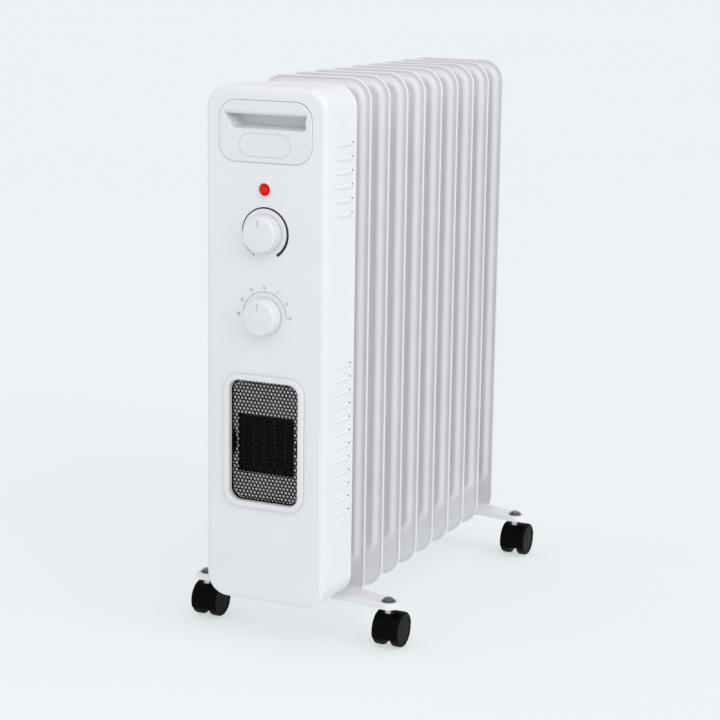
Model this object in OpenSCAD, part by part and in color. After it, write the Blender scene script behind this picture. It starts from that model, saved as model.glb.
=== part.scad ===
// Oil filled radiator heater with a fan outlet, on castors with paired wheels.
// Millimetres. +Z is up, the controls face -Y, and the origin is on the floor
// below the centre of the heater's bounding box.

/* [Housing] */
// Width of the control housing
housing_w = 150; // [130:1:180]
// How much lower the housing is than a fin is high
housing_short = 27; // [20:1:40]
// Depth of the control housing, front face to rear edge
housing_d = 73; // [66:1:90]
// Sheet thickness of the front cover and the back plate
housing_wall = 1.2; // [0.8:0.1:2]
// Corner radius of the housing seen from the front
housing_corner_r = 26; // [18:1:34]
// Rounding between the front face and the sides
housing_edge_r = 7; // [4:0.5:10]
// Height of the housing's lowest edge above the floor
housing_lift = 58.5; // [52:0.5:70]

/* [Louvres] */
// Louvres in the upper group on each side
upper_louvres = 6; // [2:1:7]
// Louvres in the lower group on each side
lower_louvres = 12; // [4:1:13]
// Spacing between neighbouring louvres
louvre_pitch = 15.4; // [12:0.1:18]
// Length of one louvre
louvre_len = 38; // [24:1:40]
// How far a louvre's open end stands out of the side
louvre_out = 3.2; // [2:0.1:4.5]
// Height of a louvre
louvre_h = 5; // [4:0.1:7]

/* [Radiator] */
// Number of oil filled fins
fin_count = 9; // [5:1:9]
// Distance from one fin to the next
fin_pitch = 50.5; // [46:0.5:60]
// Width of a fin
fin_w = 138; // [126:1:160]
// Height of a fin
fin_h = 611; // [580:1:700]
// Corner radius of a fin
fin_corner_r = 27; // [20:1:32]
// Distance from the floor to a fin's lower edge
fin_lift = 36.5; // [30:0.5:48]
// Thickness of one pressed sheet; a fin is two of them
sheet_t = 0.6; // [0.5:0.1:1.2]
// Thickness of the folded rim around a fin
rim_t = 3.2; // [2.4:0.2:4]
// Width of the folded rim
rim_w = 3; // [2:0.5:5]
// Width of the pressed oil channels
channel_w = 15; // [12:1:18]
// Thickness of a fin across an oil channel
channel_t = 11; // [8:0.5:14]
// Radius of the pressed disc around a collector
hub_r = 26; // [23:1:30]
// Outer radius of the collector tubes between fins
neck_r = 20; // [16:0.5:22]
// Height of the lower collector above a fin's lower edge
lower_hub_rise = 44; // [38:1:60]
// Drop of the upper collector below a fin's upper edge
upper_hub_drop = 42; // [38:1:60]
// Gap between the housing's rear edge and the first fin's middle
first_fin_gap = 50.5; // [46:0.5:62]

/* [Controls] */
// Diameter of both knobs
knob_d = 42; // [34:1:48]
// How far a knob stands out of the front face
knob_h = 18; // [14:1:24]
// Radius of both control spindles
spindle_r = 3; // [2.5:0.1:4]
// Distance from the top of the housing down to the thermostat knob
thermostat_drop = 160; // [154:1:170]
// Distance from the top of the housing down to the selector knob
selector_drop = 252; // [244:1:262]
// Distance from the top of the housing down to the pilot lamp
pilot_drop = 112; // [106:1:116]
// Radius of the pilot lamp's lens
pilot_r = 7; // [5:0.5:8]

/* [Grip] */
// Width of the grip insert
grip_w = 113; // [100:1:118]
// Height of the grip insert
grip_h = 67; // [60:1:72]
// Distance from the top of the housing down to the grip insert's middle
grip_drop = 49.5; // [46:0.5:54]
// Depth of the finger pocket
pocket_depth = 24; // [18:1:30]
// Height of the finger pocket's mouth
pocket_h = 15; // [14:1:20]

/* [Fan outlet] */
// Width of the outlet's bezel
bezel_w = 100; // [90:1:108]
// Height of the outlet's bezel
bezel_h = 153; // [140:1:160]
// Height of the bezel's middle above the housing's lowest edge
bezel_rise = 188; // [184:1:192]
// How far the bezel stands out of the front face
bezel_proud = 4; // [2:0.5:5]
// Width of the bezel's face
bezel_face = 7; // [5:0.5:9]
// Thickness of the perforated mesh
mesh_t = 0.8; // [0.6:0.1:1.2]
// Width of the window that the warm air leaves by
window_w = 70; // [60:1:74]
// Height of the window that the warm air leaves by
window_h = 66; // [56:1:80]
// Radius of the blower wheel
blower_r = 19; // [14:1:20]
// Length of the blower wheel
blower_len = 60; // [40:1:62]

/* [Feet] */
// Sideways distance from the middle to a castor's stem
stem_x = 119; // [105:1:130]
// Height of a foot's upper face above the floor
foot_top = 55.5; // [50:0.5:56]
// Depth of a foot's folded edge
foot_h = 9; // [7:0.5:10]
// Width of a foot at its middle, front to back
foot_w = 39; // [30:1:41]
// Radius of a foot's rounded end
foot_end_r = 14; // [12:0.5:16]
// Thickness of a foot's sheet
foot_t = 1.6; // [1.2:0.1:2.5]
// How far a foot's middle and its clamp lie behind the castor stems
foot_sweep = 16; // [8:1:18]

/* [Castors] */
// Radius of a castor wheel
wheel_r = 20; // [17:0.5:20]
// Width of one wheel
wheel_w = 10.5; // [9:0.5:16]
// Trail from the stem's axis to the wheels' axle
castor_trail = 9; // [6:0.5:11]
// Wall of the castor's hood
hood_wall = 1.2; // [1:0.1:1.6]
// Radius of the castor's stem
stem_r = 4; // [3.5:0.1:4.2]
// Radius of the wheels' axle
axle_r = 2.5; // [2:0.1:3]

/* [Cord outlet] */
// Radius of the hole that the mains lead passes through
gland_bore_r = 4; // [3:0.1:5]
// Length of the gland
gland_len = 16; // [12:1:22]

/* [Hidden] */
CASTORS = ["front_right", "front_left", "rear_right", "rear_left"];
SIDES = ["right", "left"];
$fn = 48;

white = [0.93, 0.94, 0.95];
black = [0.06, 0.06, 0.065];
steel = [0.75, 0.76, 0.78];

fit_gap = 0.3;      // between pieces that are fixed to each other
run_gap = 0.05;     // radial, where a shaft turns in a bore
cut = 1;            // how far a cutter runs past a face
louvre_sheet = 0.8; // a louvre's wall, thinned by the pressing

// Radiator, measured back from the front face and up from the floor
housing_h = fin_h - housing_short;
housing_top = housing_lift + housing_h;
first_fin_y = housing_d + first_fin_gap;
last_fin_y = first_fin_y + (fin_count - 1) * fin_pitch;
lower_hub_z = fin_lift + lower_hub_rise;
upper_hub_z = fin_lift + fin_h - upper_hub_drop;
port_r = neck_r - 1.5;
web_t = 2 * sheet_t;
spine_w = channel_w + 7;
stub_y = housing_d + 4;

// Controls
lamp_z = housing_top - pilot_drop;
thermostat_z = housing_top - thermostat_drop;
selector_z = housing_top - selector_drop;
spindle_bush_r = spindle_r + 1.9;
control_side = 34;
control_depth = 22;
inner_y = housing_wall + fit_gap;

// Grip
grip_z = housing_top - grip_drop;
grip_proud = 1.6;
grip_wall = 1.8;
pocket_w = grip_w - 13;
pocket_z = grip_z + 11.5;
badge_w = 62;
badge_h = 25;
badge_z = grip_z - 14.5;

// Fan outlet
bezel_z = housing_lift + bezel_rise;
bezel_r = 19;
mesh_w = bezel_w - 2 * bezel_face;
mesh_h = bezel_h - 2 * bezel_face;
mesh_r = bezel_r - 5;
mesh_y = 3.6;
backing_y = 8;
window_z = bezel_z - 4;
duct_len = 16;
duct_wall = 1.6;
duct_w = window_w + 2 * duct_wall;
duct_h = window_h + 2 * duct_wall;
blower_y = backing_y + duct_wall + duct_len + blower_r + 3;
blower_x = -4;
blower_z = window_z + 4;
motor_r = 15;
motor_len = 22;
motor_shaft_r = 1.5;
blade_count = 20;

// Feet and castors
front_stem_y = housing_d + first_fin_gap / 2 - foot_sweep;
rear_stem_y = last_fin_y - fin_pitch / 2 - foot_sweep;
foot_shoulder_x = 56;
saddle_w = 26;
clamp_x = neck_r + 4;
clamp_rod_r = 2.5;
hood_r = wheel_r + 0.4 + hood_wall;
wheel_gap = stem_r + 1.9;
castor_half_w = wheel_gap + wheel_w;
nut_h = 6.5;
nut_flat = 13;

// Cord gland
gland_x = 32;
gland_y = 36;

// The heater is centred front to back between the knobs and its rearmost piece
plug_h = 5;
rearmost_y = max(last_fin_y + channel_t / 2 + plug_h,
                 rear_stem_y + castor_trail + hood_r);
depth_total = knob_h + rearmost_y;
front_y = knob_h - depth_total / 2;

module in_row() { translate([0, front_y, 0]) children(); }

// ---- shared shapes -------------------------------------------------------

// A rectangle with round corners, about the origin
module round_rect(w, h, r) {
    square([w - 2 * r, h], center = true);
    square([w, h - 2 * r], center = true);
    for (x = [-1, 1], z = [-1, 1])
        translate([x * (w / 2 - r), z * (h / 2 - r)]) circle(r);
}

// A drawing in X and Z made solid from depth y0 back to depth y1
module slab(y0, y1) {
    translate([0, y1, 0]) rotate([90, 0, 0])
        linear_extrude(y1 - y0) children();
}

module y_rod(r, y0, y1, x = 0, z = 0) {
    translate([x, y0, z]) rotate([-90, 0, 0]) cylinder(r = r, h = y1 - y0);
}

module x_rod(r, x0, x1, y = 0, z = 0) {
    translate([x0, y, z]) rotate([0, 90, 0]) cylinder(r = r, h = x1 - x0);
}

module z_rod(r, z0, z1, x = 0, y = 0) {
    translate([x, y, z0]) cylinder(r = r, h = z1 - z0);
}

module block(size, at) {
    translate(at) cube(size, center = true);
}

// ---- control housing -----------------------------------------------------

// The housing's outline, taken in by a wall on every side. Its front edges are
// rounded in steps, each a slab that starts further back and is wider
module housing_form(wall, back) {
    for (t = [0:round_step:90])
        let (in_by = wall + housing_edge_r * (1 - sin(t)))
            translate([0, 0, housing_lift + housing_h / 2])
                slab(wall + housing_edge_r * (1 - cos(t)), back)
                    round_rect(housing_w - 2 * in_by, housing_h - 2 * in_by,
                               housing_corner_r - in_by + wall / 2);
}

round_step = 22.5;
louvre_y1 = housing_d - 11;
upper_louvre_z = housing_top - 62;
lower_louvre_z = housing_lift + 275.6;

module each_louvre() {
    for (side = [0, 1]) mirror([side, 0, 0]) {
        for (i = [0:upper_louvres - 1])
            translate([housing_w / 2, louvre_y1,
                       upper_louvre_z - i * louvre_pitch]) children();
        for (i = [0:lower_louvres - 1])
            translate([housing_w / 2, louvre_y1,
                       lower_louvre_z - i * louvre_pitch]) children();
    }
}

// A louvre is a wedge pressed out of the side and open at its rear end
module louvre_bulge() {
    translate([0, 0, -louvre_h / 2]) linear_extrude(louvre_h)
        polygon([[-housing_wall, 0], [louvre_out, 0], [0, -louvre_len],
                 [-housing_wall, -louvre_len]]);
}

module louvre_slot() {
    hollow = louvre_h - 2 * louvre_sheet;
    translate([0, 0, -hollow / 2]) linear_extrude(hollow)
        polygon([[-housing_wall - cut, cut], [louvre_out - louvre_sheet, cut],
                 [-housing_wall - cut, -louvre_len * 0.7]]);
}

module front_cover() {
    color(white) difference() {
        union() {
            housing_form(0, housing_d);
            each_louvre() louvre_bulge();
        }
        housing_form(housing_wall, housing_d + cut);
        each_louvre() louvre_slot();
        translate([0, 0, pocket_z]) slab(-cut, housing_wall + cut)
            square([pocket_w + 2 * grip_wall + 2 * fit_gap,
                    pocket_h + 2 * grip_wall + 2 * fit_gap], center = true);
        translate([0, 0, bezel_z]) slab(-cut, housing_wall + cut)
            round_rect(mesh_w + 3 + 2 * fit_gap, mesh_h + 3 + 2 * fit_gap,
                       mesh_r + 1);
        for (z = [thermostat_z, selector_z])
            y_rod(spindle_bush_r + fit_gap / 2, -cut, housing_edge_r, z = z);
        y_rod(pilot_r + fit_gap, -cut, housing_edge_r, z = lamp_z);
        z_rod(gland_bore_r + 4 + fit_gap / 2, housing_lift - cut,
              housing_lift + housing_wall + cut, gland_x, gland_y);
    }
}

plate_w = housing_w - 2 * housing_wall - 2 * fit_gap;
plate_h = housing_h - 2 * housing_wall - 2 * fit_gap;
plate_front = housing_d - housing_wall;
screw_x = plate_w / 2 - 12;
screw_rows = [housing_lift + 42, housing_lift + housing_h / 2,
              housing_lift + housing_h - 42];

module back_plate() {
    color(white) difference() {
        translate([0, 0, housing_lift + housing_h / 2])
            slab(plate_front, housing_d)
                round_rect(plate_w, plate_h,
                           housing_corner_r - housing_wall);
        y_rod(16, plate_front - cut, housing_d + cut, z = lower_hub_z);
        for (x = [-screw_x, screw_x], z = screw_rows)
            y_rod(2.1, plate_front - cut, housing_d + cut, x, z);
        for (x = [-30:12:30], i = [0:4])
            translate([x, 0, upper_hub_z - 60 - i * 14])
                slab(plate_front - cut, housing_d + cut)
                    square([4, 9], center = true);
    }
}

module cover_screws() {
    color(steel) for (x = [-screw_x, screw_x], z = screw_rows) {
        y_rod(2, housing_d - 10, housing_d, x, z);
        difference() {
            y_rod(3.8, housing_d, housing_d + 2.2, x, z);
            block([4.4, 2, 0.9], [x, housing_d + 2.2, z]);
            block([0.9, 2, 4.4], [x, housing_d + 2.2, z]);
        }
    }
}

// ---- grip and pilot lamp -------------------------------------------------

module grip_insert() {
    color(white) difference() {
        union() {
            translate([0, 0, grip_z]) slab(-grip_proud, 0)
                round_rect(grip_w, grip_h, 20);
            translate([0, 0, pocket_z]) slab(-grip_proud / 2, pocket_depth)
                square([pocket_w + 2 * grip_wall, pocket_h + 2 * grip_wall],
                       center = true);
        }
        translate([0, 0, pocket_z])
            slab(-grip_proud - cut, pocket_depth - grip_wall)
                square([pocket_w, pocket_h], center = true);
        translate([0, 0, badge_z]) slab(-grip_proud - cut, -grip_proud + 0.6)
            round_rect(badge_w, badge_h, badge_h / 2 - 0.5);
    }
}

module badge() {
    color(white) translate([0, 0, badge_z])
        slab(-grip_proud, -grip_proud + 0.6)
            round_rect(badge_w - fit_gap, badge_h - fit_gap,
                       badge_h / 2 - 0.7);
}

module pilot_holder() {
    color(white) difference() {
        union() {
            y_rod(pilot_r + 2, -1.4, 0, z = lamp_z);
            y_rod(pilot_r, -0.5, 16, z = lamp_z);
        }
        y_rod(pilot_r - 1, -1.4 - cut, 14, z = lamp_z);
    }
}

module pilot_lens() {
    color("red") difference() {
        union() {
            y_rod(pilot_r - 1 - fit_gap / 2, -2.4, 8, z = lamp_z);
            y_rod(pilot_r - 3, -3.2, -2.2, z = lamp_z);
        }
        y_rod(pilot_r - 3, 0, 8 + cut, z = lamp_z);
    }
}

// ---- knobs, spindles and the switches behind them ------------------------

module knob(z) {
    color(white) difference() {
        union() {
            y_rod(knob_d / 2, -knob_h + 2, -1, z = z);
            translate([0, -knob_h + 2, z]) rotate([90, 0, 0])
                cylinder(r1 = knob_d / 2, r2 = knob_d / 2 - 2, h = 2);
        }
        difference() {
            y_rod(knob_d / 2 - 2, -knob_h + 4, 0, z = z);
            y_rod(spindle_r + 2.5, -knob_h + 3, 1, z = z);
        }
        y_rod(spindle_r, -knob_h + 6, 0, z = z);
        block([1.2, 1.2, 7], [0, -knob_h, z + knob_d / 2 - 7]);
    }
}

module spindle(z) {
    color(steel) y_rod(spindle_r, -knob_h + 6, 16, z = z);
}

// A switch body with a bush through the front wall that its spindle turns in
module control_body(z, w, h, depth) {
    color([0.85, 0.83, 0.78]) difference() {
        union() {
            block([w, depth, h], [0, inner_y + depth / 2, z]);
            y_rod(spindle_bush_r, -0.6, inner_y + 1, z = z);
        }
        y_rod(spindle_r + run_gap, -cut, 17, z = z);
    }
}

module terminals(z, h, depth) {
    color(steel) for (x = [-9, 0, 9])
        block([0.8, 8, 6], [x, inner_y + depth + 4, z + h / 4]);
}

module thermostat_body() {
    control_body(thermostat_z, control_side, control_side, control_depth);
    terminals(thermostat_z, control_side, control_depth);
}

module selector_body() {
    control_body(selector_z, control_side + 4, control_side - 4,
                 control_depth + 4);
    terminals(selector_z, control_side - 4, control_depth + 4);
}

// ---- fan outlet ----------------------------------------------------------

module outlet_bezel() {
    color(white) difference() {
        union() {
            translate([0, 0, bezel_z]) slab(-bezel_proud, 0)
                round_rect(bezel_w, bezel_h, bezel_r);
            translate([0, 0, bezel_z]) slab(-cut, backing_y + duct_wall)
                round_rect(mesh_w + 3, mesh_h + 3, mesh_r + 1);
        }
        translate([0, 0, bezel_z]) slab(-bezel_proud - cut, backing_y)
            round_rect(mesh_w, mesh_h, mesh_r);
        translate([0, 0, window_z]) slab(0, backing_y + duct_wall + cut)
            square([window_w, window_h], center = true);
        for (x = [-1, 1])
            translate([x * (mesh_w / 2 - 1.6), 0, window_z])
                slab(0, backing_y + duct_wall + cut)
                    square([2.4, 18], center = true);
    }
}

mesh_step = 8.4;
mesh_hole_r = 2.9;
mesh_rows = floor((mesh_h - 14) / (mesh_step * 0.866) / 2);
mesh_columns = floor((mesh_w - 14) / mesh_step / 2);

module outlet_mesh() {
    color(black) translate([0, 0, bezel_z]) difference() {
        slab(mesh_y, mesh_y + mesh_t)
            round_rect(mesh_w - fit_gap, mesh_h - fit_gap, mesh_r - 0.15);
        for (row = [-mesh_rows:mesh_rows], column = [-mesh_columns:mesh_columns])
            y_rod(mesh_hole_r, mesh_y - cut, mesh_y + mesh_t + cut,
                  (column + (row % 2 == 0 ? 0 : 0.5)) * mesh_step
                  - (row % 2 == 0 ? 0 : (column == mesh_columns ? mesh_step : 0)),
                  row * mesh_step * 0.866);
    }
}

duct_y = backing_y + duct_wall;

module outlet_duct() {
    color(black) translate([0, 0, window_z]) difference() {
        slab(duct_y, duct_y + duct_len)
            square([duct_w, duct_h], center = true);
        slab(duct_y - cut, duct_y + duct_len + cut)
            square([window_w, window_h], center = true);
    }
}

ptc_bars = 5;

// Ceramic bars between columns of thin fins, in one clip-in block
module ptc_element() {
    pack_w = window_w - 2 * fit_gap;
    pack_h = window_h - 2 * fit_gap;
    color([0.3, 0.3, 0.32]) union() {
        for (z = [-1, 1])
            block([pack_w, 9, 4], [0, duct_y + 8, window_z + z * (pack_h / 2 - 2)]);
        for (i = [0:ptc_bars])
            block([2.4, 9, pack_h],
                  [(i - ptc_bars / 2) * (pack_w - 2.4) / ptc_bars, duct_y + 8, window_z]);
        for (i = [1:12])
            block([pack_w, 8, 0.6],
                  [0, duct_y + 8, window_z + (i - 6.5) * (pack_h - 8) / 13]);
    }
}

module blower_wheel() {
    color(black) translate([blower_x, blower_y, blower_z])
        difference() {
            union() {
                for (x = [-blower_len / 2, 0, blower_len / 2 - 1.5])
                    x_rod(blower_r, x, x + 1.5);
                for (i = [0:blade_count - 1])
                    rotate([i * 360 / blade_count, 0, 0])
                        translate([-blower_len / 2, blower_r - 6, -0.5])
                            cube([blower_len, 5.5, 1]);
                x_rod(motor_shaft_r + 2, blower_len / 2 - 10, blower_len / 2);
            }
            x_rod(motor_shaft_r, -blower_len / 2 - cut, blower_len / 2 + cut);
            x_rod(blower_r - 7, -blower_len / 2 - cut, 2);
        }
}

module motor_shaft() {
    color(steel) x_rod(motor_shaft_r, blower_x + 2,
                       blower_x + blower_len / 2 + motor_len - 2,
                       blower_y, blower_z);
}

scroll_gap = 3;
scroll_wall = 1.6;

module fan_motor() {
    x0 = blower_x + blower_len / 2 + scroll_gap + scroll_wall + fit_gap;
    color([0.45, 0.46, 0.48]) difference() {
        union() {
            x_rod(motor_r, x0, x0 + motor_len, blower_y, blower_z);
            block([motor_len * 0.6, 2 * motor_r - 4, 2 * motor_r + 6],
                  [x0 + motor_len / 2, blower_y, blower_z]);
        }
        x_rod(motor_shaft_r + run_gap, x0 - cut, x0 + motor_len + cut,
              blower_y, blower_z);
    }
}

module blower_scroll() {
    half = blower_len / 2 + scroll_gap;
    inner = blower_r + 2;
    color(black) translate([blower_x, blower_y, blower_z]) difference() {
        x_rod(inner + scroll_wall, -half - scroll_wall, half + scroll_wall);
        x_rod(inner, -half, half);
        x_rod(motor_shaft_r + 1, 0, half + scroll_wall + cut);
        x_rod(blower_r - 6, -half - scroll_wall - cut, 0);
        block([2 * half, inner + 10, 2 * inner * 0.86],
              [0, -inner / 2 - 6, 0]);
    }
}

// ---- safety parts and wiring points --------------------------------------

tip_x = -46;
tip_y = 44;
tip_z = housing_lift + 58;
tip_pin_r = 1.5;

// A case open at the front and below, with a pin across its two cheeks
module tip_switch() {
    color([0.2, 0.2, 0.22]) {
        difference() {
            block([20, 24, 34], [tip_x, tip_y, tip_z]);
            block([13, 24 + cut, 34], [tip_x, tip_y - 3, tip_z - 4]);
        }
        x_rod(tip_pin_r, tip_x - 7, tip_x + 7, tip_y, tip_z + 6);
    }
}

module tip_pendulum() {
    color(steel) difference() {
        union() {
            x_rod(3.5, tip_x - 3, tip_x + 3, tip_y, tip_z + 6);
            block([3, 3, 14], [tip_x, tip_y, tip_z - 2]);
            x_rod(5, tip_x - 5, tip_x + 5, tip_y, tip_z - 11);
        }
        x_rod(tip_pin_r + run_gap, tip_x - 8, tip_x + 8, tip_y, tip_z + 6);
    }
}

module thermal_cutout() {
    color([0.5, 0.45, 0.4]) {
        y_rod(8, plate_front - 8, plate_front, 40, lower_hub_z + 70);
        for (z = [-1, 1])
            block([3, 8, 0.8], [40, plate_front - 12, lower_hub_z + 70 + z * 4]);
    }
}

module terminal_block() {
    color([0.9, 0.88, 0.8]) difference() {
        block([16, 14, 40], [48, plate_front - 7, housing_lift + 62]);
        for (i = [-1.5:1:1.5])
            y_rod(2.4, plate_front - 14 - cut, plate_front - 6, 48,
                  housing_lift + 62 + i * 9);
    }
}

module cord_gland() {
    z0 = housing_lift - gland_len + 8;
    color([0.15, 0.15, 0.16]) difference() {
        union() {
            z_rod(gland_bore_r + 4, z0 + 4, z0 + gland_len, gland_x, gland_y);
            z_rod(gland_bore_r + 6.5, housing_lift - 2.5, housing_lift,
                  gland_x, gland_y);
            z_rod(gland_bore_r + 2.5, z0, z0 + 5, gland_x, gland_y);
        }
        z_rod(gland_bore_r, z0 - cut, z0 + gland_len + cut, gland_x, gland_y);
    }
}

// ---- radiator ------------------------------------------------------------

channel_low = lower_hub_z - channel_w / 2;
channel_high = fin_lift + fin_h - rim_w;
channel_mid = (channel_low + channel_high) / 2;
channel_outer_h = channel_high - channel_low;
channel_outer_w = fin_w - 2 * rim_w;

// The pressed pattern of one fin: a loop, a spine and two collector discs
module channel_pattern(wall) {
    translate([0, channel_mid]) difference() {
        round_rect(channel_outer_w - 2 * wall, channel_outer_h - 2 * wall,
                   fin_corner_r - rim_w - wall);
        round_rect(channel_outer_w - 2 * channel_w + 2 * wall,
                   channel_outer_h - 2 * channel_w + 2 * wall,
                   fin_corner_r - rim_w - channel_w + wall);
    }
    translate([0, (lower_hub_z + upper_hub_z) / 2])
        square([spine_w - 2 * wall, upper_hub_z - lower_hub_z], center = true);
    for (z = [lower_hub_z, upper_hub_z])
        translate([0, z]) circle(hub_r - wall);
}

module fin(i) {
    y = first_fin_y + (i - 1) * fin_pitch;
    mid_z = fin_lift + fin_h / 2;
    color(white) difference() {
        union() {
            translate([0, 0, mid_z]) slab(y - web_t / 2, y + web_t / 2)
                round_rect(fin_w, fin_h, fin_corner_r);
            translate([0, 0, mid_z]) slab(y - rim_t / 2, y + rim_t / 2)
                difference() {
                    round_rect(fin_w, fin_h, fin_corner_r);
                    round_rect(fin_w - 2 * rim_w, fin_h - 2 * rim_w,
                               fin_corner_r - rim_w);
                }
            slab(y - channel_t / 2, y + channel_t / 2) channel_pattern(0);
        }
        slab(y - channel_t / 2 + sheet_t, y + channel_t / 2 - sheet_t)
            channel_pattern(sheet_t);
        if (i > 1)
            y_rod(port_r, y - channel_t, y, z = upper_hub_z);
        y_rod(port_r, y - channel_t, y, z = lower_hub_z);
        if (i < fin_count)
            for (z = [lower_hub_z, upper_hub_z])
                y_rod(port_r, y, y + channel_t, z = z);
        if (i == fin_count)
            y_rod(filler_r, y, y + channel_t, z = upper_hub_z);
    }
}

filler_r = 6;

module neck(y0, y1, z) {
    difference() {
        y_rod(neck_r, y0, y1, z = z);
        y_rod(port_r, y0 - cut, y1 + cut, z = z);
    }
}

module collector_necks() {
    color(white) {
        for (i = [1:fin_count - 1], z = [lower_hub_z, upper_hub_z])
            let (y = first_fin_y + (i - 1) * fin_pitch)
                neck(y + channel_t / 2, y + fin_pitch - channel_t / 2, z);
        neck(stub_y, first_fin_y - channel_t / 2, lower_hub_z);
        y_rod(neck_r, stub_y, first_fin_y - channel_t / 2, z = upper_hub_z);
        y_rod(neck_r + 4, housing_d, stub_y, z = upper_hub_z);
    }
}

module filler_plug() {
    y = last_fin_y + channel_t / 2;
    color(steel) {
        y_rod(filler_r, y - sheet_t, y, z = upper_hub_z);
        translate([0, y, upper_hub_z]) rotate([-90, 0, 0])
            cylinder(r = 10, h = plug_h, $fn = 6);
    }
}

element_rod_r = 3.2;
element_x = 7;
element_z = 5;
element_end_y = last_fin_y - 26;

// Two U-shaped rods in the lower collector, with their terminals in the housing
module heating_element() {
    color([0.35, 0.33, 0.32])
        for (z = [lower_hub_z - element_z, lower_hub_z + element_z]) {
            for (x = [-element_x, element_x]) {
                y_rod(element_rod_r, stub_y + 12, element_end_y, x, z);
                y_rod(1.6, plate_front - 14, stub_y + 12, x, z);
            }
            translate([0, element_end_y, z])
                rotate_extrude(angle = 180)
                    translate([element_x, 0]) circle(element_rod_r);
        }
}

module element_flange() {
    color(steel) difference() {
        union() {
            y_rod(neck_r + 4, housing_d, stub_y, z = lower_hub_z);
            y_rod(port_r - fit_gap / 2, stub_y - cut, stub_y + 12,
                  z = lower_hub_z);
        }
        for (x = [-element_x, element_x], z = [-element_z, element_z])
            y_rod(1.6, housing_d - cut, stub_y + 12 + cut, x, lower_hub_z + z);
    }
}

// ---- feet ----------------------------------------------------------------

// The foot's outline, broad in the middle and swept forward to its round ends,
// taken in by a wall
module foot_outline(wall) {
    front = foot_sweep - foot_w / 2 + wall;
    back = foot_sweep + foot_w / 2 - wall;
    end = foot_end_r - wall;
    polygon([[-stem_x, -end], [-foot_shoulder_x, front], [foot_shoulder_x, front],
             [stem_x, -end], [stem_x, end], [foot_shoulder_x, back],
             [-foot_shoulder_x, back], [-stem_x, end]]);
    for (x = [-stem_x, stem_x]) translate([x, 0]) circle(end);
}

module foot(y) {
    saddle_h = lower_hub_z - neck_r + 3 - foot_top;
    color(white) difference() {
        union() {
            translate([0, y, foot_top - foot_h])
                linear_extrude(foot_h) foot_outline(0);
            block([saddle_w, foot_w - 6, saddle_h + foot_t / 2],
                  [0, y + foot_sweep, foot_top + saddle_h / 2 - foot_t / 4]);
        }
        y_rod(neck_r, y + foot_sweep - foot_w, y + foot_sweep + foot_w, z = lower_hub_z);
        translate([0, y, foot_top - foot_h - cut])
            linear_extrude(foot_h - foot_t + cut) foot_outline(foot_t);
        for (x = [-stem_x, stem_x])
            z_rod(stem_r + 0.1, foot_top - foot_h, foot_top + cut, x, y);
        for (x = [-clamp_x, clamp_x])
            z_rod(clamp_rod_r + 0.4, foot_top - foot_h, foot_top + cut,
                  x, y + foot_sweep);
    }
}

// A U-bolt over the lower collector, and a wing nut below the foot on each leg
module foot_clamp(y) {
    low_z = foot_top - foot_t - 14;
    color(steel) {
        translate([0, y, lower_hub_z]) rotate([90, 0, 0])
            rotate_extrude(angle = 180)
                translate([clamp_x, 0]) circle(clamp_rod_r);
        for (x = [-clamp_x, clamp_x]) z_rod(clamp_rod_r, low_z, lower_hub_z, x, y);
        for (x = [-clamp_x, clamp_x]) difference() {
            union() {
                z_rod(5, foot_top - foot_t - 7, foot_top - foot_t, x, y);
                for (w = [-1, 1])
                    block([6, 2, 8], [x + w * 7, y, foot_top - foot_t - 7]);
            }
            z_rod(clamp_rod_r + 0.05, low_z - cut, foot_top, x, y);
        }
    }
}

// ---- castors -------------------------------------------------------------

stem_low = wheel_r + 6;
collar_low = foot_top - foot_h + 1;

module castor_stems() {
    color(steel) for (x = [-stem_x, stem_x], y = [front_stem_y, rear_stem_y]) {
        z_rod(stem_r, stem_low, foot_top + nut_h + 1.5, x, y);
        z_rod(stem_r + 2.5, collar_low, foot_top - foot_t, x, y);
    }
}

module castor_nuts() {
    color(steel) for (x = [-stem_x, stem_x], y = [front_stem_y, rear_stem_y])
        difference() {
            union() {
                z_rod(stem_r + 4.4, foot_top, foot_top + 1.2, x, y);
                translate([x, y, foot_top])
                    cylinder(r = nut_flat / sqrt(3), h = nut_h, $fn = 6);
            }
            z_rod(stem_r, foot_top - cut, foot_top + nut_h + cut, x, y);
        }
}

function castor_x(c) = (c == "front_right" || c == "rear_right") ? stem_x : -stem_x;
function castor_y(c) = (c == "front_right" || c == "front_left")
    ? front_stem_y : rear_stem_y;

// A web between the wheels and a roof over them, on the stem's own axis
module castor_hood(c) {
    half = castor_half_w;
    color(black) translate([castor_x(c), castor_y(c) + castor_trail, wheel_r])
        difference() {
            x_rod(hood_r, -half, half);
            for (x = [-half - cut, wheel_gap - 0.4])
                x_rod(hood_r - hood_wall, x, x + wheel_w + 0.4 + cut);
            block([2 * half + 2, 2 * hood_r + 2, hood_r], [0, 0, -hood_r / 2 - 8]);
            block([2 * half + 2, hood_r, 2 * hood_r], [0, hood_r / 2 + 13, -hood_r - 2]);
            x_rod(axle_r, -half - cut, half + cut);
            z_rod(stem_r + run_gap, stem_low - wheel_r - 0.5, hood_r + cut,
                  0, -castor_trail);
        }
}

module castor_axle(c) {
    color(steel) translate([castor_x(c), castor_y(c) + castor_trail, wheel_r])
        x_rod(axle_r, -castor_half_w + 2, castor_half_w - 2);
}

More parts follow.
